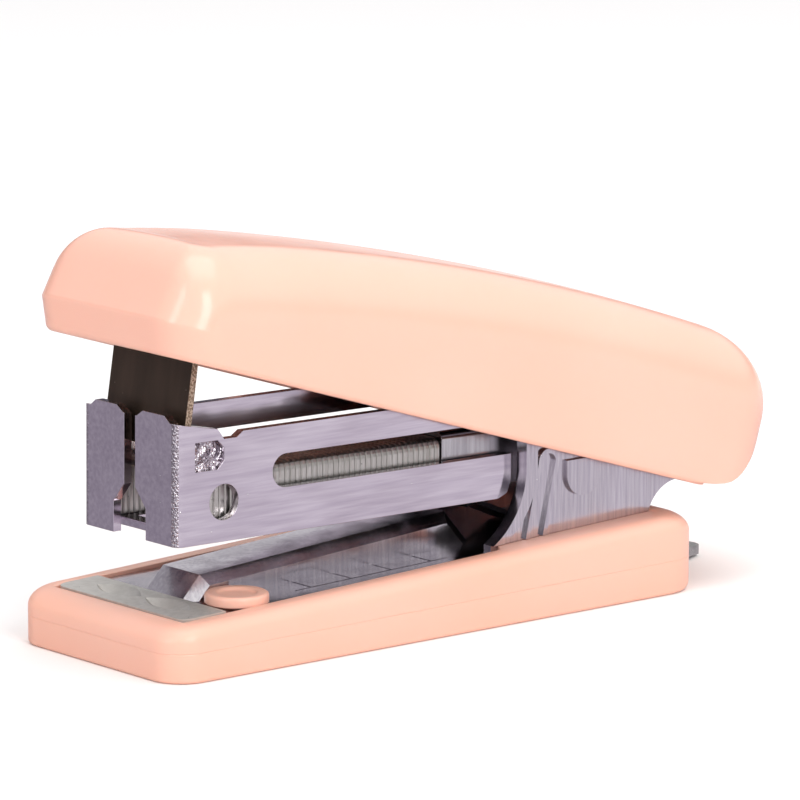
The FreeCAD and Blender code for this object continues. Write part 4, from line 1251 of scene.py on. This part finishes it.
@dataclass(frozen=True)
class Studio:
    """The pale floor, the soft room, the lights and the camera. Lengths are in metres."""

    floor_half: float = 4.0
    camera_azimuth: float = 50.4551
    camera_elevation: float = 10.7749
    camera_distance: float = 0.4284
    camera_target: tuple[float, float, float] = (0.0, 0.00312, 0.01575)
    lens: float = 261.0
    sensor: float = 36.0
    room_strength: float = 1.05
    dim_side: tuple[float, float, float] = (-0.77, -0.64, 0.0)
    band_stops: tuple[tuple[float, str], ...] = (
        (0.0, "#8A7C7A"), (0.36, "#B4AAB2"), (0.40, "#E6DFEA"), (0.44, "#F8F4FA"), (0.50, "#FFFFFF"),
        (0.53, "#6A6470"), (0.60, "#4C4852"), (0.65, "#F4F2F6"), (0.70, "#FFFFFF"), (1.0, "#FFFFFF"),
    )

    def floor(self) -> None:
        """A flat pale floor under the shoe."""
        half = self.floor_half
        mesh = bpy.data.meshes.new("floor")
        corners = [(-half, -half, 0), (half, -half, 0), (half, half, 0), (-half, half, 0)]
        mesh.from_pydata(corners, [], [(0, 1, 2, 3)])
        material, tree, shader = start_material("floor_paper")
        shader.inputs["Base Color"].default_value = linear("#F7F6F5")
        shader.inputs["Roughness"].default_value = 0.9
        shader.inputs["Specular IOR Level"].default_value = 0.1
        mesh.materials.append(material)
        floor = new_object("floor", mesh)
        floor.visible_glossy = False

    def room(self) -> None:
        """A soft room: white above, a dim band near the horizon for the metal to reflect."""
        world = bpy.data.worlds.new("soft_room")
        bpy.context.scene.world = world
        world.use_nodes = True
        tree = world.node_tree
        around = add(tree, "ShaderNodeTexCoord").outputs["Generated"]
        way = add(tree, "ShaderNodeSeparateXYZ", {"Vector": around})
        height = add(tree, "ShaderNodeMapRange", {
            "Value": way.outputs["Z"], "From Min": -1.0, "From Max": 1.0, "To Min": 0.0, "To Max": 1.0,
        })
        bands = add(tree, "ShaderNodeValToRGB", {"Fac": height.outputs["Result"]})
        ramp = bands.color_ramp
        ramp.elements[0].position, ramp.elements[0].color = 0.0, linear(self.band_stops[0][1])
        ramp.elements[1].position, ramp.elements[1].color = 1.0, linear(self.band_stops[-1][1])
        for position, colour in self.band_stops[1:-1]:
            ramp.elements.new(position).color = linear(colour)
        facing = add(tree, "ShaderNodeVectorMath", {0: around, 1: self.dim_side}, operation="DOT_PRODUCT")
        dim = spread(tree, facing.outputs["Value"], 0.0, 1.0, 0.1, 0.75)
        shade = mixed(tree, dim, "#FFFFFF", "#B0AEB4")
        room = add(tree, "ShaderNodeMix", {
            "Factor": 1.0, 6: bands.outputs["Color"], 7: shade,
        }, data_type="RGBA", blend_type="MULTIPLY")
        back = tree.nodes["Background"]
        tree.links.new(room.outputs[2], back.inputs["Color"])
        back.inputs["Strength"].default_value = self.room_strength

    def camera(self) -> None:
        """A long lens, level with the bench and a little above it."""
        turn, rise = math.radians(self.camera_azimuth), math.radians(self.camera_elevation)
        back = Vector((math.sin(turn) * math.cos(rise), -math.cos(turn) * math.cos(rise), math.sin(rise)))
        lens = bpy.data.cameras.new("bench_camera")
        lens.lens, lens.sensor_width = self.lens, self.sensor
        lens.clip_start, lens.clip_end = 0.01, 20.0
        camera = bpy.data.objects.new("bench_camera", lens)
        camera.location = Vector(self.camera_target) + back * self.camera_distance
        camera.rotation_mode = "QUATERNION"
        camera.rotation_quaternion = (-back).to_track_quat("-Z", "Y")
        bpy.context.scene.collection.objects.link(camera)
        bpy.context.scene.camera = camera

    def build(self) -> None:
        """Sets up the whole studio."""
        self.floor()
        self.room()
        self.camera()
        Softbox("key_right", (0.44, -0.10, 0.24), 0.16, 0.30, 0.80).build()
        Softbox("top_fill", (0.02, 0.05, 0.55), 0.45, 0.45, 1.15).build()
        Softbox("front_strip", (0.06, -0.46, 0.24), 0.12, 0.30, 0.42).build()
        bpy.context.scene.view_settings.view_transform = "Standard"
        LOG.info("studio: floor, room, camera and three softboxes")


# ---------------------------------------------------------------- the whole stapler


def dress_kept_nodes(finishes: Finishes) -> None:
    """Gives the CAD nodes that stay as they are their finishes.

    Args:
        finishes: every finish of the stapler.
    """
    kept = {
        "return_spring": finishes.spring, "cover_spring": finishes.spring, "remover_rivet": finishes.bright,
        "return_spring_rivet": finishes.bright, "follower_rod": finishes.bright, "rod_anchor": finishes.frame,
        "blade_rivets": finishes.bright, "cover_spring_rivet": finishes.bright,
    }
    for node, finish in kept.items():
        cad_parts[node].material_slots[0].material = finish
        LOG.info("%s: kept, finish %s", node, finish.name)


def main() -> None:
    """Builds the finishes, then each piece, then the studio."""
    logging.basicConfig(level=logging.INFO, format="%(message)s")
    finishes = Finishes()
    CoverShell().build(finishes.cover)
    BaseShoe().build(finishes.shoe)
    ShoeRivet().build(finishes.shoe)
    pressings = (
        (Pressing("magazine", "magazine_pressing", "magazine", "magazine_chrome", 0.10), finishes.magazine),
        (Pressing("base_frame", "frame_pressing", "base", "frame_chrome", 0.12), finishes.frame),
        (Pressing("anvil_plate", "anvil_stamping", "base", "anvil_steel", 0.06), finishes.anvil),
        (Pressing("hinge_pin", "hinge_pin_turned", "base", "bright_steel", 0.12), finishes.bright),
        (Pressing("staple_remover", "remover_tongue", "base", "remover_steel", 0.12), finishes.remover),
        (Pressing("follower", "follower_pressing", "follower", "follower_steel", 0.08), finishes.follower),
        (Pressing("cover_frame", "cover_frame_pressing", "cover", "frame_chrome", 0.10), finishes.frame),
        (Pressing("driver_blade", "driver_blade_strip", "cover", "blade_steel", 0.04), finishes.blade),
    )
    for pressing, finish in pressings:
        pressing.build(finish)
    StapleStrip().build(finishes.wire)
    FollowerSpring().build(finishes.spring)
    dress_kept_nodes(finishes)
    Studio().build()


if __name__ == "__main__":
    main()
